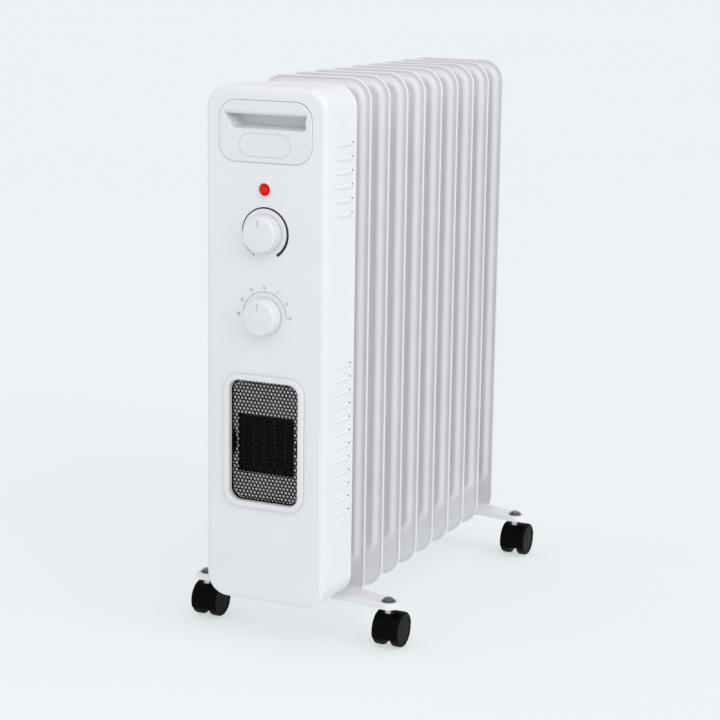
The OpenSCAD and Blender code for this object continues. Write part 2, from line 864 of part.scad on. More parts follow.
// A dished wheel, with the bore that turns on the axle
module wheel(c, side) {
    out = side == "right" ? 1 : -1;
    color(black) translate([castor_x(c), castor_y(c) + castor_trail, wheel_r])
        rotate([0, out * 90, 0]) translate([0, 0, wheel_gap]) difference() {
            union() {
                cylinder(r = wheel_r - 1.2, h = wheel_w);
                translate([0, 0, 1.2]) cylinder(r = wheel_r, h = wheel_w - 2.4);
                cylinder(r1 = wheel_r - 1.2, r2 = wheel_r, h = 1.2);
                translate([0, 0, wheel_w - 1.2])
                    cylinder(r1 = wheel_r, r2 = wheel_r - 1.2, h = 1.2);
            }
            translate([0, 0, wheel_w - 1.2])
                cylinder(r = wheel_r - 4, h = 1.2 + cut);
            translate([0, 0, -cut])
                cylinder(r = axle_r + run_gap, h = wheel_w - 1.6 + cut);
        }
}

// ---- nodes ---------------------------------------------------------------

in_row() front_cover();
in_row() back_plate();
in_row() cover_screws();
in_row() grip_insert();
in_row() badge();
in_row() pilot_lens();
in_row() pilot_holder();
in_row() knob(thermostat_z);  // thermostat_knob
in_row() spindle(thermostat_z);  // thermostat_spindle
in_row() thermostat_body();
in_row() knob(selector_z);  // selector_knob
in_row() spindle(selector_z);  // selector_spindle
in_row() selector_body();
in_row() outlet_bezel();
in_row() outlet_mesh();
in_row() outlet_duct();
in_row() ptc_element();
in_row() blower_wheel();
in_row() motor_shaft();
in_row() fan_motor();
in_row() blower_scroll();
in_row() tip_switch();
in_row() tip_pendulum();
in_row() thermal_cutout();
in_row() terminal_block();
in_row() heating_element();
in_row() element_flange();
in_row() cord_gland();
for (i = [1:fin_count])
    in_row() fin(i);
in_row() collector_necks();
in_row() filler_plug();
in_row() foot(front_stem_y);  // front_foot
in_row() foot(rear_stem_y);  // rear_foot
in_row() {  // foot_clamps
    foot_clamp(front_stem_y + foot_sweep);
    foot_clamp(rear_stem_y + foot_sweep);
}
in_row() castor_stems();
in_row() castor_nuts();
for (c = CASTORS) {
    in_row() castor_hood(c);
    in_row() castor_axle(c);
    for (s = SIDES)
        in_row() wheel(c, s);
}
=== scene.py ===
"""Oil filled radiator heater: its visible pieces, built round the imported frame.

Every size is in metres, in the frame's own axes: +Z up, the controls face -Y.
"""

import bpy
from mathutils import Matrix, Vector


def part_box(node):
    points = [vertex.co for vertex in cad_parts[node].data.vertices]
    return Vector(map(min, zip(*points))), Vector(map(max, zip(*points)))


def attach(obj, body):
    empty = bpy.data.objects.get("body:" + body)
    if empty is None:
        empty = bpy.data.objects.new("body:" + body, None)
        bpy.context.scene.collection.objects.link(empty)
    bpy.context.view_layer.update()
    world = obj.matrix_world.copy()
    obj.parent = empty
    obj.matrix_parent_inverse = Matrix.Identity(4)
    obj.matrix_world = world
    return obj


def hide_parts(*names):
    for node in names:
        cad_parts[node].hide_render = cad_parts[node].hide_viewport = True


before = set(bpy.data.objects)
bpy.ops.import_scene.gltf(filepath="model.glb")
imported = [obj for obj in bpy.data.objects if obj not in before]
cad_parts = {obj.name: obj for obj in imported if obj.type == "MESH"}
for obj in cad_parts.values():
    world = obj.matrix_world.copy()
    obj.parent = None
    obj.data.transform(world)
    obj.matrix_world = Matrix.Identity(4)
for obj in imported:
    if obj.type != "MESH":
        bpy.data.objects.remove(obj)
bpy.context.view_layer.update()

import logging
import math
from dataclasses import dataclass
from enum import Enum
from typing import Callable, Iterable, Sequence

import bmesh
import bpy
from mathutils import Matrix, Vector

LOG = logging.getLogger("heater")
MM = 0.001
BODY = "radiator"
Plan = list[tuple[float, float]]
Ring = list[Vector]


# ---- node trees and finishes -----------------------------------------------


@dataclass(frozen=True)
class Wiring:
    """A node tree that is being wired up."""

    tree: bpy.types.NodeTree

    def feed(self, socket: bpy.types.NodeSocket, value: object) -> None:
        """Links an input to another node's output, or sets its own value.

        Args:
            socket: the input.
            value: an output socket, or a plain value.
        """
        if isinstance(value, bpy.types.NodeSocket):
            self.tree.links.new(value, socket)
        else:
            socket.default_value = value

    def add(self, kind: str, **inputs: object) -> bpy.types.Node:
        """Adds a node and feeds its inputs.

        Args:
            kind: the node's type.
            inputs: what goes in, by the input's name with _ for a space.

        Returns:
            The node.
        """
        node = self.tree.nodes.new(kind)
        for label, value in inputs.items():
            self.feed(node.inputs[label.replace("_", " ")], value)
        return node

    def sum(self, operation: str, *values: object) -> bpy.types.NodeSocket:
        """Adds one step of arithmetic.

        Args:
            operation: the Math node's operation.
            values: its sockets or numbers.

        Returns:
            The result's socket.
        """
        node = self.tree.nodes.new("ShaderNodeMath")
        node.operation = operation
        for socket, value in zip(node.inputs, values):
            self.feed(socket, value)
        return node.outputs[0]


@dataclass(frozen=True)
class Finish:
    """An opaque surface: a colour with fine grain, faint mottling and uneven gloss.

    grain and blotch count features in a metre, and grain_depth is in metres.
    """

    name: str
    colour: tuple[float, float, float]
    roughness: float
    metallic: float = 0.0
    grain: float = 1400.0
    grain_depth: float = 0.00004
    blotch: float = 22.0
    mottle: float = 0.03
    gloss_spread: float = 0.06
    coat: float = 0.0
    specular: float = 0.5
    stretch: tuple[float, float, float] = (1.0, 1.0, 1.0)

    def material(self) -> bpy.types.Material:
        """Builds the finish once, and returns the same material after that.

        Returns:
            The material, ready to go into a slot.
        """
        label = f"{self.name}_finish"
        known = bpy.data.materials.get(label)
        if known:
            return known
        made = bpy.data.materials.new(label)
        made.use_nodes = True
        wiring, shader = Wiring(made.node_tree), made.node_tree.nodes["Principled BSDF"]
        place = wiring.add("ShaderNodeTexCoord").outputs["Object"]
        turned = wiring.add("ShaderNodeMapping", Vector=place, Scale=self.stretch).outputs["Vector"]
        for name, value in self.look(wiring, turned).items():
            wiring.feed(shader.inputs[name], value)
        return made

    def look(self, wiring: Wiring, place: bpy.types.NodeSocket) -> dict[str, object]:
        """Gives what goes into the shader.

        Args:
            wiring: the material's tree.
            place: the stretched object coordinates.

        Returns:
            Sockets and plain values, by the name of the shader's input.
        """
        return {"Metallic": self.metallic, "Coat Weight": self.coat, "Coat Roughness": 0.18,
                "Specular IOR Level": self.specular, "Base Color": self.mottled(wiring, place),
                "Roughness": self.gloss(wiring, place), "Normal": self.bumps(wiring, place)}

    def mottled(self, wiring: Wiring, place: bpy.types.NodeSocket) -> bpy.types.NodeSocket:
        """Varies the colour a little in large soft blotches.

        Args:
            wiring: the material's tree.
            place: the stretched object coordinates.

        Returns:
            The colour's socket.
        """
        noise = wiring.add("ShaderNodeTexNoise", Vector=place, Scale=self.blotch, Detail=4.0)
        ramp = wiring.add("ShaderNodeValToRGB", Fac=noise.outputs["Fac"])
        for stop, at, change in zip(ramp.color_ramp.elements, (0.3, 0.7), (-self.mottle, self.mottle)):
            stop.position = at
            stop.color = (*(min(1.0, channel * (1.0 + change)) for channel in self.colour), 1.0)
        return ramp.outputs["Color"]

    def gloss(self, wiring: Wiring, place: bpy.types.NodeSocket) -> bpy.types.NodeSocket:
        """Varies the roughness about its own value.

        Args:
            wiring: the material's tree.
            place: the stretched object coordinates.

        Returns:
            The roughness's socket.
        """
        noise = wiring.add("ShaderNodeTexNoise", Vector=place, Scale=self.blotch * 5.0, Detail=3.0)
        span = wiring.add("ShaderNodeMapRange", Value=noise.outputs["Fac"],
                          To_Min=max(0.02, self.roughness - self.gloss_spread),
                          To_Max=min(1.0, self.roughness + self.gloss_spread))
        return span.outputs["Result"]

    def bumps(self, wiring: Wiring, place: bpy.types.NodeSocket) -> bpy.types.NodeSocket:
        """Raises the fine grain of the surface.

        Args:
            wiring: the material's tree.
            place: the stretched object coordinates.

        Returns:
            The normal's socket.
        """
        noise = wiring.add("ShaderNodeTexNoise", Vector=place, Scale=self.grain, Detail=2.0)
        bump = wiring.add("ShaderNodeBump", Strength=0.35, Distance=self.grain_depth,
                          Height=noise.outputs["Fac"])
        return bump.outputs["Normal"]


@dataclass(frozen=True)
class LensFinish(Finish):
    """Clear coloured plastic over a lit bulb."""

    glow: float = 0.12

    def look(self, wiring: Wiring, place: bpy.types.NodeSocket) -> dict[str, object]:
        """Lets some light through, and adds the bulb's own."""
        return {**super().look(wiring, place), "Transmission Weight": 0.25, "IOR": 1.49,
                "Emission Color": (1.0, 0.03, 0.02, 1.0), "Emission Strength": self.glow}


@dataclass(frozen=True)
class FloorFinish(Finish):
    """A pale floor that is lit from below too, so that shadows on it stay faint."""

    glow: float = 0.56

    def look(self, wiring: Wiring, place: bpy.types.NodeSocket) -> dict[str, object]:
        """Adds the light from below."""
        return {**super().look(wiring, place), "Emission Color": (0.955, 0.99, 1.0, 1.0),
                "Emission Strength": self.glow}


class Paint(Enum):
    """The heater's finishes, each under its slot in the record."""

    HOUSING = ("housing_paint", Finish("housing_paint", (0.80, 0.805, 0.82), 0.36, grain=1100.0,
                                       grain_depth=0.00005, mottle=0.012, coat=0.2))
    PLASTIC = ("white_plastic", Finish("white_plastic", (0.77, 0.775, 0.79), 0.44, grain=2600.0,
                                       grain_depth=0.00003, mottle=0.012))
    FIN = ("fin_paint", Finish("fin_paint", (0.80, 0.80, 0.81), 0.4, grain=900.0,
                               grain_depth=0.00006, mottle=0.02, coat=0.1))
    FOOT = ("foot_paint", Finish("foot_paint", (0.82, 0.825, 0.84), 0.36, grain=1000.0,
                                 grain_depth=0.00005, mottle=0.015, coat=0.2))
    LENS = ("red_lens", LensFinish("red_lens", (0.80, 0.004, 0.004), 0.2, grain=600.0,
                                   grain_depth=0.00002, specular=0.15))
    MESH = ("dark_mesh", Finish("dark_mesh", (0.006, 0.006, 0.0065), 0.5, grain=2200.0,
                                mottle=0.15, specular=0.04))
    # black: the real black plastic parts, and the painted shade blocks in the louvre mouths and behind the
    # outlet's backing
    BLACK = ("black_plastic", Finish("black_plastic", (0.006, 0.006, 0.0065), 0.55, mottle=0.15,
                                     specular=0.04))
    PHENOLIC = ("phenolic", Finish("phenolic", (0.62, 0.55, 0.42), 0.55, mottle=0.08))
    HEATER = ("heater_block", Finish("heater_block", (0.03, 0.031, 0.033), 0.5, specular=0.1,
                                     mottle=0.2, stretch=(1.0, 1.0, 3.0)))
    ZINC = ("zinc_steel", Finish("zinc_steel", (0.56, 0.57, 0.59), 0.24, metallic=1.0,
                                 grain=1800.0, mottle=0.08, stretch=(1.0, 1.0, 6.0)))
    NUT = ("zinc_steel", Finish("dark_chrome", (0.16, 0.165, 0.18), 0.2, metallic=1.0,
                                grain=1800.0, mottle=0.2))
    SHEATH = ("element_sheath", Finish("element_sheath", (0.16, 0.13, 0.11), 0.5, metallic=0.9,
                                       mottle=0.25, stretch=(1.0, 0.2, 1.0)))
    CASTOR = ("castor_black", Finish("castor_black", (0.0035, 0.0037, 0.004), 0.34, grain=2400.0,
                                     grain_depth=0.00003, mottle=0.2, specular=0.02))
    WHEEL = ("wheel_black", Finish("wheel_black", (0.008, 0.0085, 0.009), 0.36, grain=2000.0,
                                   grain_depth=0.00003, mottle=0.2, specular=0.03))
    INK = ("white_plastic", Finish("dial_ink", (0.012, 0.012, 0.015), 0.5, mottle=0.1))
    # faint grey: the selector's printed marks, and the painted shadow along the grip's top seam
    FAINT_INK = ("white_plastic", Finish("faint_ink", (0.16, 0.16, 0.18), 0.55, mottle=0.1))
    # pale grey: painted shade in the grip's seam; the knobs' pointer ticks use it too
    SHADE = ("white_plastic", Finish("seam_shade", (0.42, 0.425, 0.44), 0.6, mottle=0.05))

    @property
    def slot(self) -> str:
        """The record's name for the slot."""
        return self.value[0]

    @property
    def material(self) -> bpy.types.Material:
        """The finish as a material."""
        return self.value[1].material()


# ---- shapes ----------------------------------------------------------------


@dataclass(frozen=True)
class Outline:
    """A rectangle with round corners that stands in X and Z."""

    width: float
    height: float
    radius: float
    x: float = 0.0
    z: float = 0.0
    arc: int = 12

    def plan(self, inset: float = 0.0) -> Plan:
        """Gives the outline's points, anticlockwise as the front shows it.

        Args:
            inset: how far the outline is taken in on every side.

        Returns:
            Points in X and Z.
        """
        half_w, half_h = self.width / 2 - inset, self.height / 2 - inset
        radius = min(max(self.radius - inset, 0.4 * MM), half_w, half_h)
        points: Plan = []
        for quarter, (sx, sz) in enumerate(((1, 1), (-1, 1), (-1, -1), (1, -1))):
            for step in range(self.arc + 1):
                angle = math.radians(90.0 * (quarter + step / self.arc))
                points.append((self.x + sx * (half_w - radius) + radius * math.cos(angle),
                               self.z + sz * (half_h - radius) + radius * math.sin(angle)))
        return points

    def ring(self, inset: float, y: float) -> Ring:
        """Gives the outline, taken in by inset, at depth y."""
        return [Vector((x, y, z)) for x, z in self.plan(inset)]

    def rings(self, steps: Iterable[tuple[float, float]]) -> list[Ring]:
        """Gives one ring for each inset and depth."""
        return [self.ring(inset, y) for inset, y in steps]

    @classmethod
    def of(cls, node: str, radius: float, arc: int = 12) -> "Outline":
        """Gives the outline of one of the frame's nodes, as the front shows it.

        Args:
            node: the node, which stands in the middle of the width.
            radius: its corners' radius.
            arc: how many steps round each corner.

        Returns:
            The outline.
        """
        low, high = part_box(node)
        return cls(high.x - low.x, high.z - low.z, radius, 0.0, (low.z + high.z) / 2, arc)


def quarter_round(steps: int) -> Plan:
    """Gives a quarter round as shares of its radius, from the side to the face.

    Args:
        steps: how many steps it takes.

    Returns:
        Pairs of how far it has come in from the side and how far it is from the face.
    """
    angles = [math.pi / 2 * (1 - step / steps) for step in range(steps + 1)]
    return [(1 - math.sin(angle), 1 - math.cos(angle)) for angle in angles]


def object_of(name: str, mesh_maker: bmesh.types.BMesh) -> bpy.types.Object:
    """Turns a bmesh into a linked object at the origin.

    Args:
        name: the object's name.
        mesh_maker: the bmesh, which is freed.

    Returns:
        The new object.
    """
    mesh = bpy.data.meshes.new(name)
    mesh_maker.to_mesh(mesh)
    mesh_maker.free()
    made = bpy.data.objects.new(name, mesh)
    bpy.context.scene.collection.objects.link(made)
    return made


def skin(maker: bmesh.types.BMesh, rings: Sequence[Ring],
         joined: bool = False) -> list[list[bmesh.types.BMVert]]:
    """Puts faces between neighbouring rings that all have the same number of points.

    Args:
        maker: the bmesh that they go into.
        rings: the rings, in order.
        joined: whether the last ring runs on into the first one.

    Returns:
        The rings' vertices.
    """
    rows = [[maker.verts.new(point) for point in ring] for ring in rings]
    pairs = list(zip(rows, rows[1:])) + ([(rows[-1], rows[0])] if joined else [])
    for near, far in pairs:
        for i in range(len(near)):
            j = (i + 1) % len(near)
            maker.faces.new((near[i], near[j], far[j], far[i]))
    return rows


def loft(name: str, rings: Sequence[Ring], joined: bool = False) -> bpy.types.Object:
    """Makes a closed shape from a row of rings.

    Args:
        name: the object's name.
        rings: the rings, in order.
        joined: whether the last ring runs on into the first one; if not, both ends are closed.

    Returns:
        The shape, with its faces outwards.
    """
    maker = bmesh.new()
    rows = skin(maker, rings, joined)
    if not joined:
        maker.faces.new(rows[0])
        maker.faces.new(list(reversed(rows[-1])))
    bmesh.ops.recalc_face_normals(maker, faces=maker.faces)
    return object_of(name, maker)


def lathe(name: str, profile: Sequence[tuple[float, float]], axis: str,
          segments: int = 64) -> bpy.types.Object:
    """Turns a profile about an axis through the origin.

    Args:
        name: the object's name.
        profile: points as (radius, place along the axis); a radius of 0 closes an end.
        axis: "X", "Y" or "Z".
        segments: how many steps make a full turn.

    Returns:
        The turned object.
    """
    maker = bmesh.new()
    columns: list[list[bmesh.types.BMVert]] = []
    poles = {i: maker.verts.new((0.0, 0.0, along))
             for i, (radius, along) in enumerate(profile) if radius <= 0.0}
    for step in range(segments):
        angle = 2.0 * math.pi * step / segments
        columns.append([poles.get(i) or maker.verts.new(
            (radius * math.cos(angle), radius * math.sin(angle), along))
            for i, (radius, along) in enumerate(profile)])
    for step in range(segments):
        near, far = columns[step], columns[(step + 1) % segments]
        for i in range(len(profile) - 1):
            corners = list(dict.fromkeys((near[i], far[i], far[i + 1], near[i + 1])))
            if len(corners) > 2:
                maker.faces.new(corners)
    turn = {"X": Matrix.Rotation(math.pi / 2, 3, "Y"),
            "Y": Matrix.Rotation(-math.pi / 2, 3, "X"), "Z": Matrix.Identity(3)}[axis]
    bmesh.ops.transform(maker, matrix=turn.to_4x4(), verts=maker.verts)
    bmesh.ops.recalc_face_normals(maker, faces=maker.faces)
    return object_of(name, maker)


def block(name: str, low: Sequence[float], high: Sequence[float]) -> bpy.types.Object:
    """Makes a plain block between two corners.

    Args:
        name: the object's name.
        low: its lowest corner.
        high: its highest corner.

    Returns:
        The block.
    """
    low_corner, high_corner = Vector(low), Vector(high)
    maker = bmesh.new()
    bmesh.ops.create_cube(maker, size=1.0)
    bmesh.ops.scale(maker, vec=high_corner - low_corner, verts=maker.verts)
    bmesh.ops.translate(maker, vec=(low_corner + high_corner) / 2, verts=maker.verts)
    return object_of(name, maker)


def rod(name: str, radius: float, start: Sequence[float], end: Sequence[float],
        segments: int = 48) -> bpy.types.Object:
    """Makes a round rod between two points.

    Args:
        name: the object's name.
        radius: its radius.
        start: the middle of one end.
        end: the middle of the other end.
        segments: how many sides it has.

    Returns:
        The rod.
    """
    first, last = Vector(start), Vector(end)
    maker = bmesh.new()
    bmesh.ops.create_cone(maker, cap_ends=True, segments=segments, radius1=radius,
                          radius2=radius, depth=(last - first).length)
    turn = (last - first).to_track_quat("Z", "Y").to_matrix().to_4x4()
    bmesh.ops.transform(maker, matrix=Matrix.Translation((first + last) / 2) @ turn,
                        verts=maker.verts)
    return object_of(name, maker)


def bake(piece: bpy.types.Object) -> bpy.types.Object:
    """Turns a piece with its modifiers into a plain mesh.

    Args:
        piece: the object, which keeps its name.

    Returns:
        The same object, without modifiers.
    """
    graph = bpy.context.evaluated_depsgraph_get()
    graph.update()
    fresh = bpy.data.meshes.new_from_object(piece.evaluated_get(graph), depsgraph=graph)
    piece.modifiers.clear()
    piece.data = fresh
    return piece


def drop(items: Iterable[bpy.types.Object]) -> None:
    """Deletes helpers that are no longer needed."""
    for item in items:
        bpy.data.objects.remove(item)


def cut(piece: bpy.types.Object, cutters: Sequence[bpy.types.Object]) -> bpy.types.Object:
    """Takes the cutters' shapes out of a piece, and deletes the cutters.

    Args:
        piece: the object.
        cutters: closed shapes.

    Returns:
        The same object, as a plain mesh.
    """
    for cutter in cutters:
        modifier = piece.modifiers.new("cut", "BOOLEAN")
        modifier.object = cutter
        modifier.operation = "DIFFERENCE"
        modifier.solver = "EXACT"
    bake(piece)
    drop(cutters)
    return piece


def join(name: str, items: Sequence[bpy.types.Object]) -> bpy.types.Object:
    """Puts several meshes into one object, each where it stands.

    Args:
        name: the new object's name.
        items: objects at the origin, which are deleted.

    Returns:
        The one object.
    """
    maker = bmesh.new()
    for item in items:
        maker.from_mesh(item.data)
    drop(items)
    return object_of(name, maker)


def moved(piece: bpy.types.Object, step: Sequence[float], name: str | None = None,
          copy: bool = False) -> bpy.types.Object:
    """Moves a piece's mesh, or a copy of it, and leaves its object at the origin.

    Args:
        piece: the object.
        step: how far it moves.
        name: the copy's name.
        copy: whether a copy moves and the piece stays.

    Returns:
        The object that moved.
    """
    target = piece
    if copy:
        target = bpy.data.objects.new(name or piece.name, piece.data.copy())
        bpy.context.scene.collection.objects.link(target)
    target.data.transform(Matrix.Translation(Vector(step)))
    return target


def soften(piece: bpy.types.Object, angle: float = 32.0, bevel: float = 0.0,
           steps: int = 2) -> bpy.types.Object:
    """Shades a piece smooth between its creases, with an optional small bevel on them.

    Args:
        piece: the object.
        angle: the crease angle in degrees.
        bevel: the bevel's width, or 0 for none.
        steps: the bevel's segments.

    Returns:
        The same object, as a plain mesh.
    """
    if bevel:
        modifier = piece.modifiers.new("soft edges", "BEVEL")
        modifier.width = bevel
        modifier.segments = steps
        modifier.limit_method = "ANGLE"
        modifier.angle_limit = math.radians(angle)
        modifier.harden_normals = False
        bake(piece)
    piece.data.shade_smooth()
    piece.data.set_sharp_from_angle(angle=math.radians(angle))
    flat = piece.modifiers.new("flat faces stay flat", "WEIGHTED_NORMAL")
    flat.keep_sharp = True
    flat.weight = 90
    return bake(piece)


def thicken(piece: bpy.types.Object, wall: float) -> bpy.types.Object:
    """Gives an open skin a wall on its inner side.

    Args:
        piece: the skin.
        wall: the wall's thickness.

    Returns:
        The same object, as a plain mesh.
    """
    modifier = piece.modifiers.new("wall", "SOLIDIFY")
    modifier.thickness = wall
    modifier.offset = -1.0
    modifier.use_even_offset = True
    return bake(piece)


def hand_in(piece: bpy.types.Object, paint: Paint, replaces: Sequence[str] = (),
            body: str = BODY) -> bpy.types.Object:
    """Paints a finished piece, and tells the frame where it belongs.

    Args:
        piece: the object.
        paint: its finish.
        replaces: the frame's nodes that it stands for.
        body: the body that it moves with.

    Returns:
        The same object.
    """
    piece.data.materials.clear()
    piece.data.materials.append(paint.material)
    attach(piece, body)
    if replaces:
        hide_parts(*replaces)
    paint.slot
    LOG.info("%s: %d faces on %s", piece.name, len(piece.data.polygons), body)
    return piece


# ---- repeats by geometry nodes ---------------------------------------------


class Repeats:
    """The node trees that repeat a shape, built once each."""

    @staticmethod
    def _begin(name: str, inputs: dict[str, str]) -> tuple[Wiring, bpy.types.Node]:
        """Starts a tree with the named inputs, besides its Geometry, Shape and Finish.

        Args:
            name: the tree's name.
            inputs: the kind of each further input, by its label.

        Returns:
            The tree's wiring, and its Group Input node.
        """
        tree = bpy.data.node_groups.new(name, "GeometryNodeTree")
        kinds = {"Geometry": "Geometry", "Shape": "Object", "Finish": "Material", **inputs}
        for label, kind in kinds.items():
            tree.interface.new_socket(label, in_out="INPUT", socket_type=f"NodeSocket{kind}")
        tree.interface.new_socket("Geometry", in_out="OUTPUT", socket_type="NodeSocketGeometry")
        wiring = Wiring(tree)
        return wiring, wiring.add("NodeGroupInput")

    @staticmethod
    def _end(wiring: Wiring, entry: bpy.types.Node, points: bpy.types.NodeSocket) -> None:
        """Sets the shape on the points, makes it real and paints it.

        Args:
            wiring: the tree's wiring.
            entry: its Group Input node.
            points: where the shape goes.
        """
        shape = wiring.add("GeometryNodeObjectInfo", Object=entry.outputs["Shape"])
        spread = wiring.add("GeometryNodeInstanceOnPoints", Points=points,
                            Instance=shape.outputs["Geometry"])
        real = wiring.add("GeometryNodeRealizeInstances", Geometry=spread.outputs["Instances"])
        painted = wiring.add("GeometryNodeSetMaterial", Geometry=real.outputs["Geometry"],
                             Material=entry.outputs["Finish"])
        wiring.add("NodeGroupOutput", Geometry=painted.outputs["Geometry"])

    @classmethod
    def _row_tree(cls) -> bpy.types.NodeTree:
        """Wires the tree that sets a shape in an even row.

        Returns:
            The tree.
        """
        wiring, entry = cls._begin("even row", {"Count": "Int", "Start": "Vector", "Step": "Vector"})
        line = wiring.add("GeometryNodeMeshLine", Count=entry.outputs["Count"],
                          Start_Location=entry.outputs["Start"], Offset=entry.outputs["Step"])
        line.mode = "OFFSET"
        cls._end(wiring, entry, line.outputs["Mesh"])
        return wiring.tree

    @classmethod
    def _places_tree(cls) -> bpy.types.NodeTree:
        """Wires the tree that sets a shape on each of the host's own vertices.

        Returns:
            The tree.
        """
        wiring, entry = cls._begin("on each place", {})
        points = wiring.add("GeometryNodeMeshToPoints", Mesh=entry.outputs["Geometry"])
        cls._end(wiring, entry, points.outputs["Points"])
        return wiring.tree

    @staticmethod
    def _lattice(wiring: Wiring, entry: bpy.types.Node, shift: float) -> bpy.types.NodeSocket:
        """Lays every other row of a staggered sheet.

        Args:
            wiring: the tree's wiring.
            entry: its Group Input node.
            shift: how many pitches the rows are moved along, and double rows up.

        Returns:
            The rows' points.
        """
        pitch = entry.outputs["Pitch"]
        double = wiring.sum("MULTIPLY", entry.outputs["Row Gap"], 2.0)
        across = wiring.sum("CEIL", wiring.sum("DIVIDE", entry.outputs["Width"], pitch))
        up = wiring.sum("CEIL", wiring.sum("DIVIDE", entry.outputs["Height"], double))
        grid = wiring.add("GeometryNodeMeshGrid", Size_X=wiring.sum("MULTIPLY", across, pitch),
                          Size_Y=wiring.sum("MULTIPLY", up, double),
                          Vertices_X=wiring.sum("ADD", across, 1.0),
                          Vertices_Y=wiring.sum("ADD", up, 1.0))
        step = wiring.add("ShaderNodeCombineXYZ", X=wiring.sum("MULTIPLY", pitch, shift),
                          Z=wiring.sum("MULTIPLY", double, shift))
        upright = wiring.add("GeometryNodeTransform", Geometry=grid.outputs["Mesh"],
                             Translation=step.outputs["Vector"], Rotation=(math.pi / 2, 0.0, 0.0))
        return upright.outputs["Geometry"]

    @classmethod
    def _sheet_tree(cls) -> bpy.types.NodeTree:
        """Wires the tree that lays a cell in staggered rows inside a round-cornered opening.

        Returns:
            The tree.
        """
        sizes = dict.fromkeys(("Width", "Height", "Corner", "Pitch", "Row Gap", "Margin"), "Float")
        wiring, entry = cls._begin("staggered sheet", {**sizes, "Centre": "Vector"})
        both = wiring.add("GeometryNodeJoinGeometry")
        for shift in (0.0, 0.5):
            wiring.feed(both.inputs["Geometry"], cls._lattice(wiring, entry, shift))
        where = wiring.add("GeometryNodeInputPosition").outputs["Position"]
        parts, corner = wiring.add("ShaderNodeSeparateXYZ", Vector=where), entry.outputs["Corner"]
        over = []
        for axis, side in (("X", "Width"), ("Z", "Height")):
            flat = wiring.sum("SUBTRACT", wiring.sum("MULTIPLY", entry.outputs[side], 0.5), corner)
            over.append(wiring.sum("SUBTRACT", wiring.sum("ABSOLUTE", parts.outputs[axis]), flat))
        squares = [wiring.sum("POWER", wiring.sum("MAXIMUM", part, 0.0), 2.0) for part in over]
        outer = wiring.sum("SQRT", wiring.sum("ADD", *squares))
        inner = wiring.sum("MINIMUM", wiring.sum("MAXIMUM", *over), 0.0)
        edge = wiring.sum("SUBTRACT", wiring.sum("ADD", outer, inner), corner)
        outside = wiring.sum("GREATER_THAN", wiring.sum("ADD", edge, entry.outputs["Margin"]), 0.0)
        keep = wiring.add("GeometryNodeDeleteGeometry", Geometry=both.outputs["Geometry"],
                          Selection=outside)
        keep.domain = "POINT"
        placed = wiring.add("GeometryNodeTransform", Geometry=keep.outputs["Geometry"],
                            Translation=entry.outputs["Centre"])
        cls._end(wiring, entry, placed.outputs["Geometry"])
        return wiring.tree

    @staticmethod
    def _run(name: str, tree: bpy.types.NodeTree, places: Sequence[Sequence[float]],
             values: dict[str, object]) -> bpy.types.Object:
        """Runs a tree on a new object, and makes the result a plain mesh.

        Args:
            name: the new object's name.
            tree: the node tree.
            places: the host's vertices, where the tree reads them.
            values: the tree's inputs, by name.

        Returns:
            The new object, without the modifier.
        """
        mesh = bpy.data.meshes.new(name)
        mesh.from_pydata([tuple(place) for place in places], [], [])
        host = bpy.data.objects.new(name, mesh)
        bpy.context.scene.collection.objects.link(host)
        modifier = host.modifiers.new(tree.name, "NODES")
        modifier.node_group = tree
        for item in tree.interface.items_tree:
            if item.in_out == "INPUT" and item.name in values:
                modifier[item.identifier] = values[item.name]
        return bake(host)

    @classmethod
    def rows(cls, name: str, shape: bpy.types.Object, paint: Paint,
             rows: Iterable[tuple[int, Sequence[float], Sequence[float]]]) -> bpy.types.Object:
        """Sets a shape in one or more even rows.

        Args:
            name: the new object's name.
            shape: what repeats; it is deleted.
            paint: its finish.
            rows: each row's count, start and step.

        Returns:
            All the rows as one piece.
        """
        tree = bpy.data.node_groups.get("even row") or cls._row_tree()
        values = {"Shape": shape, "Finish": paint.material}
        made = [cls._run(name, tree, (), {**values, "Count": count, "Start": start, "Step": step})
                for count, start, step in rows]
        drop([shape])
        return join(name, made)

    @classmethod
    def at(cls, name: str, shape: bpy.types.Object, paint: Paint,
           places: Sequence[Sequence[float]]) -> bpy.types.Object:
        """Sets a shape at each of several places.

        Args:
            name: the new object's name.
            shape: what repeats; it is deleted.
            paint: its finish.
            places: where it goes.

        Returns:
            All of them as one piece.
        """
        tree = bpy.data.node_groups.get("on each place") or cls._places_tree()
        made = cls._run(name, tree, places, {"Shape": shape, "Finish": paint.material})
        drop([shape])
        return made

    @classmethod
    def sheet(cls, name: str, shape: bpy.types.Object, paint: Paint,
              **sizes: object) -> bpy.types.Object:
        """Fills a round-cornered opening with staggered rows of a cell.

        Args:
            name: the new object's name.
            shape: the cell; it is deleted.
            paint: its finish.
            sizes: the sheet tree's other inputs, by name with _ for a space.

        Returns:
            The sheet as one piece.
        """
        given = {label.replace("_", " ").title(): value for label, value in sizes.items()}
        made = cls._run(name, cls._sheet_tree(), (), {"Shape": shape, "Finish": paint.material, **given})
        drop([shape])
        return made


# ---- the housing -----------------------------------------------------------


